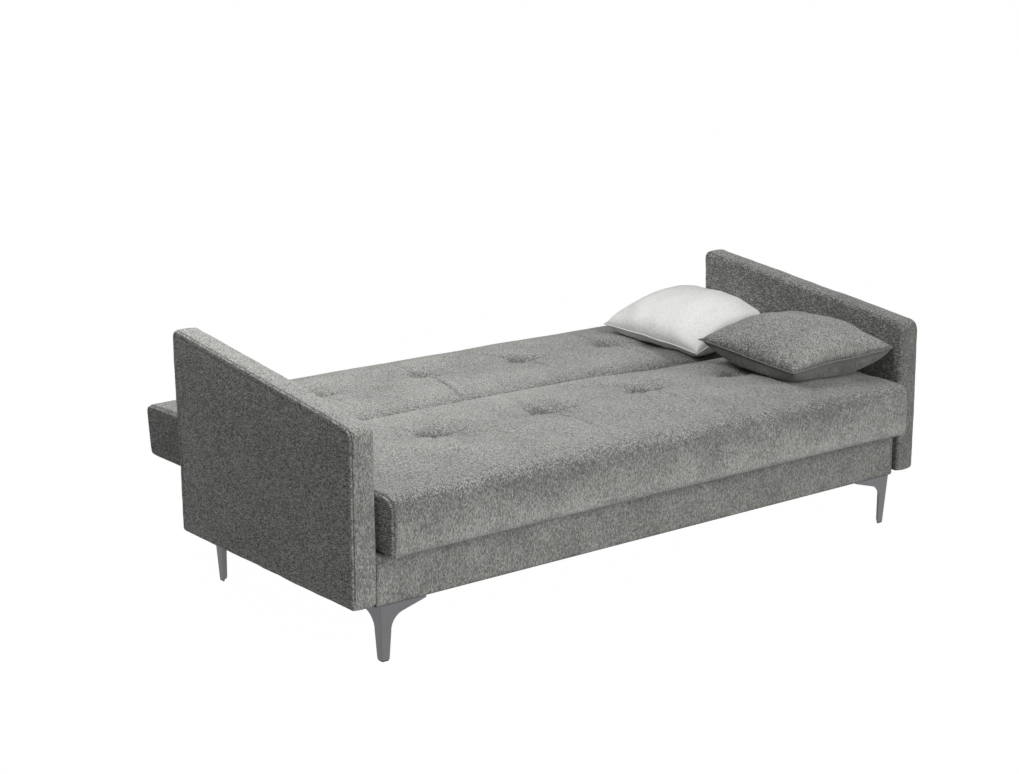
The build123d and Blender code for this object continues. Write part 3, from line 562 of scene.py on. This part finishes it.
def arm(side, word, painted_light_top, painted_light_front, painted_light_side):
    low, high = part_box(f"arm_cover_{word}")
    front, rear, bottom = low.y - arm_nap, high.y + arm_rear_wadding, low.z
    inner, outer = (high.x, low.x - arm_nap) if side < 0 else (low.x, high.x + arm_nap)
    corners = [Vector(p) for p in ((front, bottom), (rear - arm_rear_lean, bottom),
                                   (rear, arm_back_height), (front, arm_front_height))]
    outline = resampled(rounded_outline(corners, arm_rounds, 16), lambda p: np.full(len(p), panel_gap))
    into = inward(outline)
    core = core_line(outline, arm_core_half)
    step = 1 if inner > outer else -1
    rings = []

    def ring(x, inset=0.0, share=0.0):
        rings.append(section(outline, into, core, x, inset, share))

    cap = [1, 0.97, 0.93, 0.88, 0.82, 0.75, 0.68, 0.61, 0.54, 0.48, 0.42, 0.36, 0.31, 0.26, 0.22, 0.18,
           0.145, 0.115, 0.09, 0.07, 0.053, 0.040, 0.030, 0.022, 0.015, 0.009, 0.004]
    turns = np.linspace(0, math.pi / 2, 13)
    for share in cap:
        ring(outer, outer_edge_round, share)
    for turn in turns:
        ring(outer + step * outer_edge_round * (1 - math.cos(turn)), outer_edge_round * (1 - math.sin(turn)))
    for share in np.linspace(0, 1, 9)[1:-1]:
        across = outer_edge_round + share * (abs(inner - outer) - outer_edge_round - inner_edge_round)
        ring(outer + step * across, -0.0015 * math.sin(math.pi * share))
    for turn in turns[::-1]:
        ring(inner - step * inner_edge_round * (1 - math.cos(turn)), inner_edge_round * (1 - math.sin(turn)))
    for share in cap[::-1]:
        ring(inner, inner_edge_round, share)
    piece = new_object(f"arm_{word}_cover", skin(f"arm_{word}", rings), chenille)
    mesh = piece.data
    points, normals = points_of(mesh), normals_of(mesh)
    slope = (arm_back_height - arm_front_height) / (rear - front)
    from_top = arm_front_height + slope * (points[:, 1] - front) - points[:, 2]
    lean = arm_rear_lean * (arm_back_height - points[:, 2]) / (arm_back_height - bottom)
    from_rear = rear - lean - points[:, 1]
    from_front = points[:, 1] - front
    from_bottom = points[:, 2] - bottom
    edge = np.minimum.reduce([from_top, from_front, from_rear, from_bottom])
    across = np.abs(points[:, 0] - outer)
    flat_side = normals[:, 0] ** 2
    push = arm_fullness * ramp(edge / 0.10) ** 0.5 * flat_side
    push += waves(points, (0.35, 0.12, 0.045), (0.0009, 0.0005, 0.00025), 11 + side)
    # the outer seam lies just round the rim, and the row of stitches is beside it on the side panel; both
    # carry painted shade
    seam = bell(across - outer_seam_in, 0.0016) * (edge < 0.009) * (from_bottom > 0.02)
    second = bell(edge - second_row_in, 0.0020) * (across < 0.006) * (from_bottom > 0.03)
    pucker = 1 + 0.5 * np.sin(2 * math.pi * (points[:, 1] + points[:, 2]) / pucker_pitch)
    push -= (0.0022 * seam + 0.0009 * second) * pucker
    # painted shade where the front band meets the rail
    joint = bell(points[:, 0] - inner, 0.0045) * (from_front < 0.012) * (points[:, 2] < 0.30)
    # painted light: the top, front and sides are painted paler or darker by the amounts given
    painted_light = painted_light_top * ramp(normals[:, 2]) ** 2 + painted_light_front * normals[:, 1] ** 2
    painted_light += painted_light_side * flat_side
    cloth_marks(mesh, normals, 0.75 * seam + 0.35 * second + 0.8 * joint, painted_light)
    set_points(mesh, points + normals * push[:, None])
    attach(piece, "base")
    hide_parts(f"arm_cover_{word}")
    start = int(np.argmin(np.hypot(outline[:, 0] - front, outline[:, 1] - (bottom + 0.02))))
    order = np.roll(np.arange(len(outline)), -start)[::-1]
    inside = outline + into * second_row_in
    kept = [n for n in order if outline[n, 1] > bottom + 0.03]
    route = [(outer - step * 0.0003, inside[n, 0], inside[n, 1]) for n in kept]
    stitches(f"arm_{word}_stitches", "base", route, pitch=0.0056, length=0.0040, thickness=0.0011)


# painted light: the left arm's top is painted paler than its front, and the right arm is painted darker all
# over, as painted shade
arm(-1, "left", painted_light_top=0.80, painted_light_front=-0.35, painted_light_side=0.05)
arm(1, "right", painted_light_top=-1.20, painted_light_front=-1.20, painted_light_side=-1.45)


# Pads: foam and fibre wadding on a timber frame, in one chenille cover. Twine pulls four tufts into
# each pad, the cloth creases towards them, and each end is a flat panel with a seam round its rim.
tuft_count = 4
tuft_pitch = 0.370
tuft_shift = 0.020
tuft_floor = 0.4200
tuft_places = [(n - (tuft_count - 1) / 2) * tuft_pitch + tuft_shift for n in range(tuft_count)]
# the dimples show a little to the right of the ties and before them
dimple_asides = (0.012, 0.026, 0.027, 0.016)
dimple_ahead = 0.010
dimple_depth = 0.0130
dimple_radius = 0.070
pad_bulge = 0.0025
pad_end_round = 0.012
pad_flat_top = 0.4415
end_crown = 0.003
# where the top begins on the way up the front, and how soon it is all top
pad_top_from = 0.400
pad_top_run = 0.038
lining_show = 0.0025
# the mesh's steps at the tufts, elsewhere on the cover and on its underside
fine_gap = 0.0042
coarse_gap = 0.0085
bottom_gap = 0.022
# the short tuck of each tuft, and the pit that it lies in
tuck_half = 0.012
shade_half = 0.014
pit_floor_reach = 0.0050
pit_wall_run = 0.0235
# the sag along each row of tufts
row_sag = 0.0045
row_width = 0.085
# the white pillow's edge on the backrest, how it slants, and how deep its weight goes in
pillow_edge = 0.560
pillow_edge_slant = 0.36
pillow_sink = 0.012


def pad_stations(low, high, end_round):
    """Places along the pad with how far the section is drawn in there, close together at the tufts."""
    x = low.x + end_round
    inner = []
    while x < high.x - end_round:
        inner.append((x, 0.0))
        near = min(abs(x - place) for place in tuft_places)
        x += fine_gap if near < 0.055 else coarse_gap
    turns = np.linspace(0, math.pi / 2, 7)
    left = [(low.x + end_round * (1 - math.cos(turn)), end_round * (1 - math.sin(turn))) for turn in turns]
    right = [(high.x - (x - low.x), inset) for x, inset in left[::-1]]
    return left[:-1] + inner + right


def creases(dx, dy, folds):
    """Depth and shade of the tucks in the cloth that run from a tuft."""
    total = np.zeros(len(dx))
    shade = np.zeros(len(dx))
    for heading, length, deep, bend, spread in folds:
        turn = math.radians(heading)
        along = dx * math.cos(turn) + dy * math.sin(turn)
        beside = -dx * math.sin(turn) + dy * math.cos(turn) + bend * along ** 2
        run = np.clip(along, 0, None)
        width = 0.0045 + spread * run
        fade = ramp((along - 0.012) / 0.02) * np.exp(-((run / length) ** 3))
        total += deep * fade * (bell(beside, width) - 0.45 * bell(beside, 2.6 * width))
        shade = np.maximum(shade, fade * bell(beside, 0.004) * deep / 0.006)
    return total, shade


# each tuck's heading in degrees, length, depth, bend and spread
tuft_folds = (
    ((-4, 0.10, 0.0055, 0.6, 0.10), (184, 0.07, 0.0060, -1.2, 0.05), (-88, 0.19, 0.0042, 0.4, 0.03),
     (113, 0.19, 0.0040, -0.4, 0.03), (-128, 0.09, 0.0030, 0.0, 0.06)),
    ((6, 0.07, 0.0065, 1.4, 0.05), (174, 0.10, 0.0060, -1.0, 0.07), (-96, 0.34, 0.0055, 0.54, 0.012),
     (96, 0.17, 0.0040, 0.8, 0.03), (40, 0.08, 0.0032, 0.0, 0.06)),
    ((-8, 0.09, 0.0065, 1.0, 0.06), (188, 0.08, 0.0062, -1.5, 0.05), (-90, 0.20, 0.0050, 0.3, 0.02),
     (94, 0.16, 0.0045, 0.5, 0.03), (-48, 0.10, 0.0030, 0.0, 0.06)),
    ((2, 0.08, 0.0062, 1.2, 0.05), (178, 0.09, 0.0062, -1.2, 0.06), (-82, 0.17, 0.0040, 0.6, 0.03),
     (104, 0.15, 0.0040, -0.6, 0.03), (-135, 0.08, 0.0030, 1.0, 0.06)),
    ((-2, 0.09, 0.0062, 1.0, 0.06), (182, 0.07, 0.0064, -1.0, 0.05), (-94, 0.13, 0.0044, -0.5, 0.03),
     (86, 0.18, 0.0042, 0.6, 0.025), (55, 0.07, 0.0030, 0.0, 0.06)),
)


def tufted(x, y, tuft_y, order):
    """How far the tufts draw the top down, the shade in them, and how far each point is from one."""
    drop = np.zeros(len(x))
    shade = np.zeros(len(x))
    nearest = np.full(len(x), 9.0)
    for place, aside, number in zip(tuft_places, dimple_asides, order):
        dx, dy = x - place - aside, y - tuft_y + dimple_ahead
        away = np.hypot(dx, dy)
        near = away < 0.4
        tuck, dark = np.zeros(len(x)), np.zeros(len(x))
        tuck[near], dark[near] = creases(dx[near], dy[near], tuft_folds[number])
        far_half = ramp((dy + 0.030) / 0.060)
        drop += dimple_depth * bell(away, dimple_radius) * (0.30 + 0.70 * far_half) + 1.35 * tuck
        # a short tuck, whose wall on the near side is the steeper one, so that its lip is crisp
        beside = np.clip(np.abs(dx) - tuck_half, 0, None)
        nearest = np.minimum(nearest, np.hypot(beside, dy * np.where(dy < 0, 1.7, 0.80)))
        # the painted shade in it reaches up the far wall
        inner = np.clip(np.abs(dx) - shade_half, 0, None)
        hollow = np.hypot(inner / 0.016, dy / np.where(dy < 0, 0.020, 0.036))
        wall = np.hypot(beside / 0.022, dy / np.where(dy < 0, 0.022, 0.066))
        held = np.maximum(0.95 * np.exp(-(hollow ** 2.4)), 0.52 * np.exp(-(wall ** 4)))
        shade = np.maximum.reduce([shade, 0.6 * dark, held])
    return drop, shade, nearest


def pad_shell(name, low, high, profile, rounds, tuft_y):
    """The pad's closed mesh before it is tufted, with points close together where the tufts will be."""
    y0, y1, z0 = profile[0].x, profile[2].x, profile[0].y

    def gap_at(p):
        near = np.abs(p[:, 0] - tuft_y) < 0.06
        gap = np.where(p[:, 1] < z0 + 0.001, bottom_gap, coarse_gap)
        return np.where(near & (p[:, 1] > 0.4), fine_gap, gap)

    outline = resampled(rounded_outline(profile, rounds, 16), gap_at)
    into = inward(outline)
    core = core_line(outline, (y1 - y0) / 2 - 0.07)
    cap = [1, 0.9, 0.78, 0.66, 0.54, 0.43, 0.33, 0.24, 0.16, 0.10, 0.055, 0.025]
    stations = pad_stations(low, high, pad_end_round)
    places = [(stations[0][0], pad_end_round, share) for share in cap]
    places += [(x, inset, 0.0) for x, inset in stations]
    places += [(stations[-1][0], pad_end_round, share) for share in cap[::-1]]
    return skin(name, [section(outline, into, core, *place) for place in places])


def pad(name, node, body, others, rounds, lean, crown, near_sag, rear_ridge, right_rear_sag, far_sag,
        spare, tuft_y, order, seed):
    """One pad. Its crown, ridge and sags are heights, and its cover adds the spare length at each end."""
    low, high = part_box(node)
    low.x -= spare
    high.x += spare
    y0, y1, z0 = low.y + pad_bulge, high.y - pad_bulge, low.z
    profile = [Vector(p) for p in ((y0, z0), (y1 - lean, z0), (y1, pad_flat_top), (y0, pad_flat_top))]
    piece = new_object(name, pad_shell(name, low, high, profile, rounds, tuft_y), chenille)
    mesh = piece.data
    points, normals = points_of(mesh), normals_of(mesh)
    x, y, z = points.T
    is_seat = body == "seat"
    at_end = np.abs(normals[:, 0]) > 0.9
    middle, half = (y0 + y1) / 2, (y1 - y0) / 2
    along = ramp(1 - np.abs(x / high.x) ** 3.2)
    over = ramp(1 - ((y - middle) / half) ** 2)
    up = ramp((z - pad_top_from) / pad_top_run) ** 1.5 * (np.abs(normals[:, 0]) < 0.9)
    uneven = waves(points, (0.46, 0.19, 0.085), (0.0028, 0.0032, 0.0013), seed)
    uneven *= np.clip(np.minimum(y - y0, y1 - y) / 0.12, 0.15, 1)
    crowned = (crown * along + end_crown) * over ** 0.6
    rise = crowned - row_sag * bell(y - tuft_y, row_width)
    rise -= near_sag * np.exp(-np.clip(y - y0, 0, None) / 0.045)
    rise += rear_ridge * bell(y - y1 + 0.034, 0.034)
    rise -= right_rear_sag * eased((x - 0.10) / 0.45) * bell(y - y1, 0.075)
    rise -= far_sag * np.exp(-(y1 - y) / 0.06)
    # the white pillow's weight lies on the right end of the backrest, with painted shade under it
    from_edge = x - pillow_edge - pillow_edge_slant * (y - 0.05)
    laid = ramp(from_edge / 0.05) * ramp((0.36 - y) / 0.08) * (not is_seat)
    drop, shade, nearest = tufted(x, y, tuft_y, order)
    rise -= pillow_sink * eased(laid) + drop
    shade = np.maximum(shade, 0.45 * laid) * (up > 0.5)
    pit = np.exp(-(np.clip(nearest - pit_floor_reach, 0, None) / pit_wall_run) ** 1.8) * (up > 0.5)
    z[:] = (z + up * (rise + uneven)) * (1 - pit) + tuft_floor * pit
    # the fronts swell a little, and the end panels too
    side = (1 - up) * np.abs(normals[:, 1]) ** 2
    push = side * (pad_bulge * np.sin(math.pi * ramp((z - z0) / 0.15)) + uneven * 0.5)
    push += at_end * 0.0035 * ramp(np.minimum.reduce([y - y0, y1 - y, z - z0, 0.45 - z]) / 0.05) ** 0.6
    # the welt round each end and the hem sink in, and both carry painted shade
    from_end = high.x - np.abs(x)
    welt = bell(from_end - 0.0042, 0.0017) * (z > z0 + 0.006)
    hem = bell(z - z0 - 0.010, 0.0030) * (np.abs(normals[:, 1]) > 0.5)
    push -= 0.0024 * welt + 0.0010 * hem
    # painted shade lies in the crease between the two pads, and more so towards the pillows
    if not is_seat:
        dusk = 0.06 + 0.42 * ramp((x + 0.5) / 1.3)
        shade = np.maximum(shade, dusk * bell(y - y0, 0.055))
    # painted light: raised places are painted paler, and the end panels are painted darker. The seat's top
    # has painted shade at its front and right end, and its front is painted darker where it rolls over,
    # paler towards the hem
    painted_light = 0.75 * up * np.clip(rise - crowned + uneven + 0.004, -0.008, 0.008) / 0.008 - 0.9 * at_end
    if is_seat:
        rolled = 0.25 * bell(y - y1 + 0.07, 0.09) - 0.75 * np.exp(-np.clip(y - y0, 0, None) / 0.06)
        painted_light += up * (rolled - 0.75 * ramp((x - 0.20) / 0.55))
        painted_light += (1 - up) * ramp(-normals[:, 1]) * (0.55 - 1.15 * ramp((z - z0) / 0.13))
    cloth_marks(mesh, normals, ramp(shade + 0.7 * welt + 0.3 * hem), painted_light)
    points = points + normals * push[:, None]
    if is_seat:
        low_front = ramp((z0 + 0.06 - points[:, 2]) / 0.06) * (points[:, 1] < y0 + 0.03)
        points[:, 2] -= 0.008 * low_front * np.exp(-from_end / 0.03)
    inside = (y > y0 + 0.016) & (y < y1 - lean - 0.016) & (np.abs(x) < high.x - 0.016)
    points[inside & (normals[:, 2] < -0.9), 2] = z0 + lining_show
    set_points(mesh, points)
    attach(piece, body)
    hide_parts(node, *others)
    return piece


seat_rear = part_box("seat_cover")[1].y - pad_bulge
back_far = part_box("back_cover")[1].y - pad_bulge
seat_pad = pad(
    "seat_pad", "seat_cover", "seat", ("seat_foam",), rounds=(0.014, 0.014, 0.024, 0.036), lean=0.0,
    crown=0.018, near_sag=0.007, rear_ridge=0.005, right_rear_sag=0.017, far_sag=0.0,
    spare=0.0, tuft_y=seat_rear - 0.245, order=(0, 2, 3, 4), seed=5)
back_pad = pad(
    "backrest_pad", "back_cover", "backrest", ("back_foam",), rounds=(0.025, 0.014, 0.026, 0.036), lean=0.022,
    crown=0.009, near_sag=0.012, rear_ridge=0.0, right_rear_sag=0.0, far_sag=0.0065,
    spare=0.008, tuft_y=back_far - 0.251, order=(3, 1, 0, 2), seed=8)


# Rails: boards in a chenille sleeve over thin foam, the front one and the rear one of the bedding box.
# The cloth has painted shade where it meets an arm, runs under the pad, or turns in at its hem.
rail_rounds = (0.006, 0.003, 0.003, 0.006)
rail_end_round = 0.004
rail_hem = 0.0015


def rail(node, seed):
    low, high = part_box(node)
    low.z -= rail_hem
    corners = [Vector(p) for p in ((low.y, low.z), (high.y, low.z), (high.y, high.z), (low.y, high.z))]
    outline = resampled(rounded_outline(corners, rail_rounds, 6), lambda p: np.full(len(p), 0.0055))
    into = inward(outline)
    core = core_line(outline, 0.0)
    length = high.x - low.x
    end = [(0.0, rail_end_round), (0.0006, 0.0025), (0.002, 0.001), (0.004, 0.0)]
    middle = [(x, 0.0) for x in np.arange(0.012, length - 0.008, 0.010)]
    stations = end + middle + [(length - x, inset) for x, inset in end[::-1]]
    cap = (1, 0.6, 0.25)
    places = [(0.0, rail_end_round, share) for share in cap]
    places += [(x, inset, 0.0) for x, inset in stations]
    places += [(length, rail_end_round, share) for share in cap[::-1]]
    rings = [section(outline, into, core, low.x + x, inset, share) for x, inset, share in places]
    piece = new_object(f"{node}_cloth", skin(node, rings), chenille)
    mesh = piece.data
    points, normals = points_of(mesh), normals_of(mesh)
    from_bottom, from_top = points[:, 2] - low.z, high.z - points[:, 2]
    face = ramp(from_bottom / 0.02) * ramp(from_top / 0.02)
    push = face * np.abs(normals[:, 1]) * waves(points, (0.3, 0.12, 0.05), (0.0008, 0.0004, 0.0002), seed)
    at_arm = bell(high.x - np.abs(points[:, 0]), 0.0045)
    shade = np.maximum.reduce([0.85 * at_arm, 0.85 * bell(from_top, 0.006), 0.6 * bell(from_bottom, 0.004)])
    # painted shade: the cloth is painted darker all over, and more so towards the right
    cloth_marks(mesh, normals, shade, -0.50 - 0.2 * points[:, 0])
    set_points(mesh, points + normals * push[:, None])
    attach(piece, "base")
    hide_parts(node)


rail("front_rail_cover", 3)
rail("rear_rail_cover", 4)


# Pillows: two cloth panels sewn at a corded seam round a fibre fill, blown up by simulation, laid on
# the pads and pressed to them and to the arm. They clear the pads wherever their joints take them.
pillow_step = 0.009
pillow_clear = 0.0020
pillow_soft = 0.004
pillow_overlap = 0.0015
pillow_filling = 0.9
cord_radius = 0.0022
off_white = fabric("white_weave", (420.0, 420.0, 420.0), None, white_yarns, 0.8, 0.5, flat_place=True)
pillow_chenille = fabric("pillow_chenille", (620.0, 300.0, 300.0), None, grey_yarns, 0.85, flat_place=True)


def pillow_bag(name, length, width, rise, fullness, thin):
    """A lens of two sheets that share their border, pulled in between its corners."""
    rows, columns = int(length / pillow_step), int(width / pillow_step)
    points, index, flat = [], {}, []
    for side in (1, -1):
        for r in range(rows + 1):
            for c in range(columns + 1):
                border = r in (0, rows) or c in (0, columns)
                if side < 0 and border:
                    index[side, r, c] = index[1, r, c]
                    continue
                u, v = 2 * c / columns - 1, 2 * r / rows - 1
                across, along = fullness[0] if side > 0 else fullness[1]
                height = side * rise * ((1 - abs(u) ** across) * (1 - abs(v) ** along)) ** 0.5
                if side > 0:
                    height *= 1 - thin * max(u, 0)
                index[side, r, c] = len(points)
                points.append((u * width / 2 * (1 - 0.04 * (1 - v * v) * u * u),
                               v * length / 2 * (1 - 0.04 * (1 - u * u) * v * v), height))
                flat.append((u * width / 2 + 3 * side, v * length / 2, 0.0))
    faces = []
    for side in (1, -1):
        for r in range(rows):
            for c in range(columns):
                quad = [index[side, r + i, c + j] for i, j in ((0, 0), (0, 1), (1, 1), (1, 0))]
                faces.append(quad if side > 0 else quad[::-1])
    mesh = bpy.data.meshes.new(name)
    mesh.from_pydata(points, [], faces)
    place = mesh.attributes.new("flat_place", "FLOAT_VECTOR", "POINT")
    place.data.foreach_set("vector", np.array(flat, dtype=np.float32).reshape(-1))
    rim = [(0, c) for c in range(columns)] + [(r, columns) for r in range(rows)]
    rim += [(rows, c) for c in range(columns, 0, -1)] + [(r, 0) for r in range(rows, 0, -1)]
    return mesh, [index[1, r, c] for r, c in rim]


def inflate(piece, frames, pressure, most):
    cloth = piece.modifiers.new("cloth", "CLOTH")
    settings = cloth.settings
    settings.quality = 6
    settings.mass = 0.3
    settings.tension_stiffness = 25
    settings.compression_stiffness = 25
    settings.shear_stiffness = 12
    settings.bending_stiffness = 1.5
    settings.tension_damping = 8
    settings.compression_damping = 8
    settings.use_pressure = True
    settings.uniform_pressure_force = pressure
    settings.effector_weights.gravity = 0
    cloth.collision_settings.use_collision = False
    cloth.collision_settings.use_self_collision = False
    cloth.point_cache.frame_start = 1
    cloth.point_cache.frame_end = frames
    before = points_of(piece.data)
    for number in range(1, frames + 1):
        bpy.context.scene.frame_set(number)
    applied(piece)
    bpy.context.scene.frame_set(1)
    moved = points_of(piece.data) - before
    far = np.linalg.norm(moved, axis=1)[:, None]
    set_points(piece.data, before + moved * np.minimum(1, most / np.maximum(far, 1e-9)))


def corded_seam(name, border, radius, shade, material, body):
    """A thin covered cord along the closed border of a pillow."""
    count, sides = len(border), 8
    ahead = np.roll(border, -1, 0) - np.roll(border, 1, 0)
    ahead /= np.linalg.norm(ahead, axis=1)[:, None]
    out = border - border.mean(0)
    out -= (out * ahead).sum(1)[:, None] * ahead
    out /= np.linalg.norm(out, axis=1)[:, None]
    up = np.cross(ahead, out)
    turns = [2 * math.pi * k / sides for k in range(sides)]
    centre = border + out * radius * 0.6
    points = np.vstack([centre + radius * (out * math.cos(turn) + up * math.sin(turn)) for turn in turns])
    faces = []
    for k in range(sides):
        for n in range(count):
            m, j = (n + 1) % count, (k + 1) % sides
            faces.append((k * count + n, k * count + m, j * count + m, j * count + n))
    mesh = bpy.data.meshes.new(name)
    mesh.from_pydata(points.tolist(), [], faces)
    bm = bmesh.new()
    bm.from_mesh(mesh)
    bmesh.ops.recalc_face_normals(bm, faces=bm.faces)
    bm.to_mesh(mesh)
    bm.free()
    run = np.concatenate([[0], np.cumsum(np.linalg.norm(np.diff(border, axis=0), axis=1))])
    flat = np.zeros((len(points), 3), dtype=np.float32)
    flat[:, 0] = np.repeat(np.arange(sides) * radius, count)
    flat[:, 1] = np.tile(run, sides)
    mesh.attributes.new("flat_place", "FLOAT_VECTOR", "POINT").data.foreach_set("vector", flat.reshape(-1))
    cloth_marks(mesh, normals_of(mesh), shade)
    piece = new_object(name, mesh, material)
    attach(piece, body)


def surface_under(piece):
    """A function that gives the height of a pad's top at any place, or None beside the pad."""
    mesh = piece.data
    tree = BVHTree.FromPolygons([v.co for v in mesh.vertices], [p.vertices for p in mesh.polygons])

    def height(x, y):
        spot = tree.ray_cast(Vector((x, y, 1.0)), Vector((0, 0, -1)))[0]
        return None if spot is None else spot.z

    return height


def pressed(depth, soft):
    """How far cloth moves out of what it rests on, with a soft start before it touches."""
    return soft * np.log1p(np.exp(np.clip(depth / soft, -30, 30)))


def pillow(name, body, nodes, material, size, fullness, thin, left_lift, right_lift, pushed,
           place, turn, pads, wall, seam_shade):
    """One pillow, turned by degrees about X, Y and Z. Each of its pads comes with the moves made over it."""
    length, width, height = size
    mesh, rim = pillow_bag(name, length, width, height / 2 * pillow_filling, fullness, thin)
    piece = new_object(name, mesh, material)
    inflate(piece, frames=16, pressure=2.0, most=0.014)
    mesh = piece.data
    points = points_of(mesh)
    points -= (points.max(0) + points.min(0)) / 2
    points *= np.array([width, length, height]) / (points.max(0) - points.min(0))
    dents = waves(points, (0.20, 0.09), (0.0030, 0.0014), len(name))
    points += normals_of(mesh) * dents[:, None]
    # the near corners are turned up, and the side against the arm is pushed forward
    u, v = 2 * points[:, 0] / width, 2 * points[:, 1] / length
    points[:, 2] += left_lift * (1 - u) / 2 * ramp(-v) ** 2 + right_lift * ramp(u) ** 2 * (1 - v) / 2
    points[:, 1] -= pushed * ((u + 1) / 2) ** 2
    about = [Matrix.Rotation(math.radians(angle), 3, axis) for angle, axis in zip(turn, "XYZ")]
    points = points @ np.array(about[2] @ about[1] @ about[0]).T + np.array(place)
    for point in points:
        found = []
        for height_at, moves in pads:
            for ahead, up in moves:
                z = height_at(point[0], point[1] + ahead)
                if z is not None:
                    found.append(z - up)
        if found:
            point[2] += pressed(max(found) + pillow_clear - point[2], pillow_soft)
    points[:, 0] -= pressed(points[:, 0] - (wall - pillow_overlap), pillow_soft)
    set_points(mesh, points)
    border = points[rim]
    # painted shade on the underside, more towards the left, and full along the seam; the cord gets half of it
    down = ramp(-normals_of(mesh)[:, 2])
    shade = (0.9 * seam_shade) * ramp(down * 3)
    shade *= np.clip(1.2 - 0.5 * u, 0.3, 1)
    shade[rim] = seam_shade
    cloth_marks(mesh, normals_of(mesh), shade)
    split = piece.modifiers.new("finer", "SUBSURF")
    split.levels = split.render_levels = 1
    applied(piece)
    corded_seam(f"{name}_cord", border, cord_radius, 0.5 * seam_shade, material, body)
    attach(piece, body)
    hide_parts(*nodes)


arm_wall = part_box("arm_cover_right")[0].x - 0.001
on_seat, on_back = surface_under(seat_pad), surface_under(back_pad)
# the places over the pads, ahead and up, that each pillow's joint takes it through
grey_path = [(-0.0110 * n, 0.0) for n in range(11)]
white_path = ((0.0, 0.0), (0.1110, 0.0146), (0.1255, 0.0055))
pillow("grey_pillow", "grey_pillow", ("grey_pillow_cover", "grey_pillow_fill"), pillow_chenille,
       size=(0.452, 0.397, 0.160), fullness=((2.1, 2.4), (5.0, 2.0)), thin=0.40,
       left_lift=0.016, right_lift=0.012, pushed=0.0, place=(0.787, -0.2880, 0.524), turn=(4, -5.2, -6.8),
       pads=((on_seat, grey_path),), wall=arm_wall, seam_shade=0.75)
pillow("white_pillow", "white_pillow", ("white_pillow_cover", "white_pillow_fill"), off_white,
       size=(0.436, 0.345, 0.147), fullness=((2.3, 2.5), (5.0, 3.0)), thin=0.0,
       left_lift=0.0, right_lift=0.0, pushed=0.055, place=(0.850, 0.257, 0.511), turn=(3.5, -16, 0),
       pads=((on_seat, ((0.0, 0.0),)), (on_back, white_path)), wall=arm_wall, seam_shade=0.22)


# Metal, wood and the rest: the legs, the box, the hinges and what is inside the covers keep the shapes
# of the frame. Each gets the finish of its slot.
def plain_finish(name, dark, light, stretch, rough, metallic=0.0, bump_mm=0.1):
    material, nodes, links = new_material(name)
    place = nodes.new("ShaderNodeTexCoord").outputs["Object"]
    grain = stretched_noise(nodes, links, place, stretch, 4.0, 0.6)
    colour = mixed(nodes, links, grain, (*dark, 1), (*light, 1))
    shader = nodes.new("ShaderNodeBsdfPrincipled")
    shader.inputs["Metallic"].default_value = metallic
    bump = nodes.new("ShaderNodeBump")
    bump.inputs["Strength"].default_value = 0.6
    bump.inputs["Distance"].default_value = bump_mm / 1000
    out = nodes.new("ShaderNodeOutputMaterial")
    links.new(colour, shader.inputs["Base Color"])
    uneven = math_node(nodes, links, "MULTIPLY", grain, 0.2)
    links.new(math_node(nodes, links, "ADD", uneven, rough - 0.1), shader.inputs["Roughness"])
    links.new(grain, bump.inputs["Height"])
    links.new(bump.outputs[0], shader.inputs["Normal"])
    links.new(shader.outputs[0], out.inputs["Surface"])
    return material


def even(scale):
    return scale, scale, scale


finishes = {
    "timber": plain_finish(
        "planed_pine", (0.50, 0.34, 0.19), (0.68, 0.52, 0.34), (6.0, 90.0, 90.0), 0.6),
    "hardboard": plain_finish(
        "hardboard", (0.17, 0.10, 0.06), (0.26, 0.17, 0.10), even(150.0), 0.55),
    "foam": plain_finish(
        "foam", (0.62, 0.55, 0.36), (0.74, 0.68, 0.50), even(700.0), 0.95, bump_mm=0.6),
    "fibre_fill": plain_finish(
        "fibre", (0.75, 0.75, 0.73), (0.9, 0.9, 0.88), even(200.0), 1.0, bump_mm=1.0),
    "lining_cloth": plain_finish(
        "black_lining", (0.010, 0.010, 0.010), (0.03, 0.03, 0.03), even(900.0), 0.85),
    "twine": plain_finish(
        "twine", (0.10, 0.10, 0.09), (0.22, 0.22, 0.20), (900.0, 900.0, 200.0), 0.8),
    "leg_metal": plain_finish(
        "satin_leg", (0.135, 0.131, 0.139), (0.200, 0.196, 0.206), (400.0, 400.0, 25.0), 0.42, metallic=0.7),
    "nylon": plain_finish(
        "black_nylon", (0.015, 0.015, 0.015), (0.03, 0.03, 0.03), even(300.0), 0.5),
    "zinc_screw": plain_finish(
        "zinc_plate", (0.42, 0.42, 0.40), (0.60, 0.60, 0.56), even(250.0), 0.35, metallic=1.0),
    "hinge_steel": plain_finish(
        "black_powder_coat", (0.02, 0.02, 0.021), (0.045, 0.045, 0.048), even(900.0), 0.5),
}
slots = {part["node"]: part["material_slot"] for part in frame["record"]["subparts"]}
for node, piece in frame["nodes"].items():
    finish = finishes.get(slots[node])
    if finish is None:
        continue
    if not piece.material_slots:
        piece.data.materials.append(finish)
    for holder in piece.material_slots:
        holder.material = finish
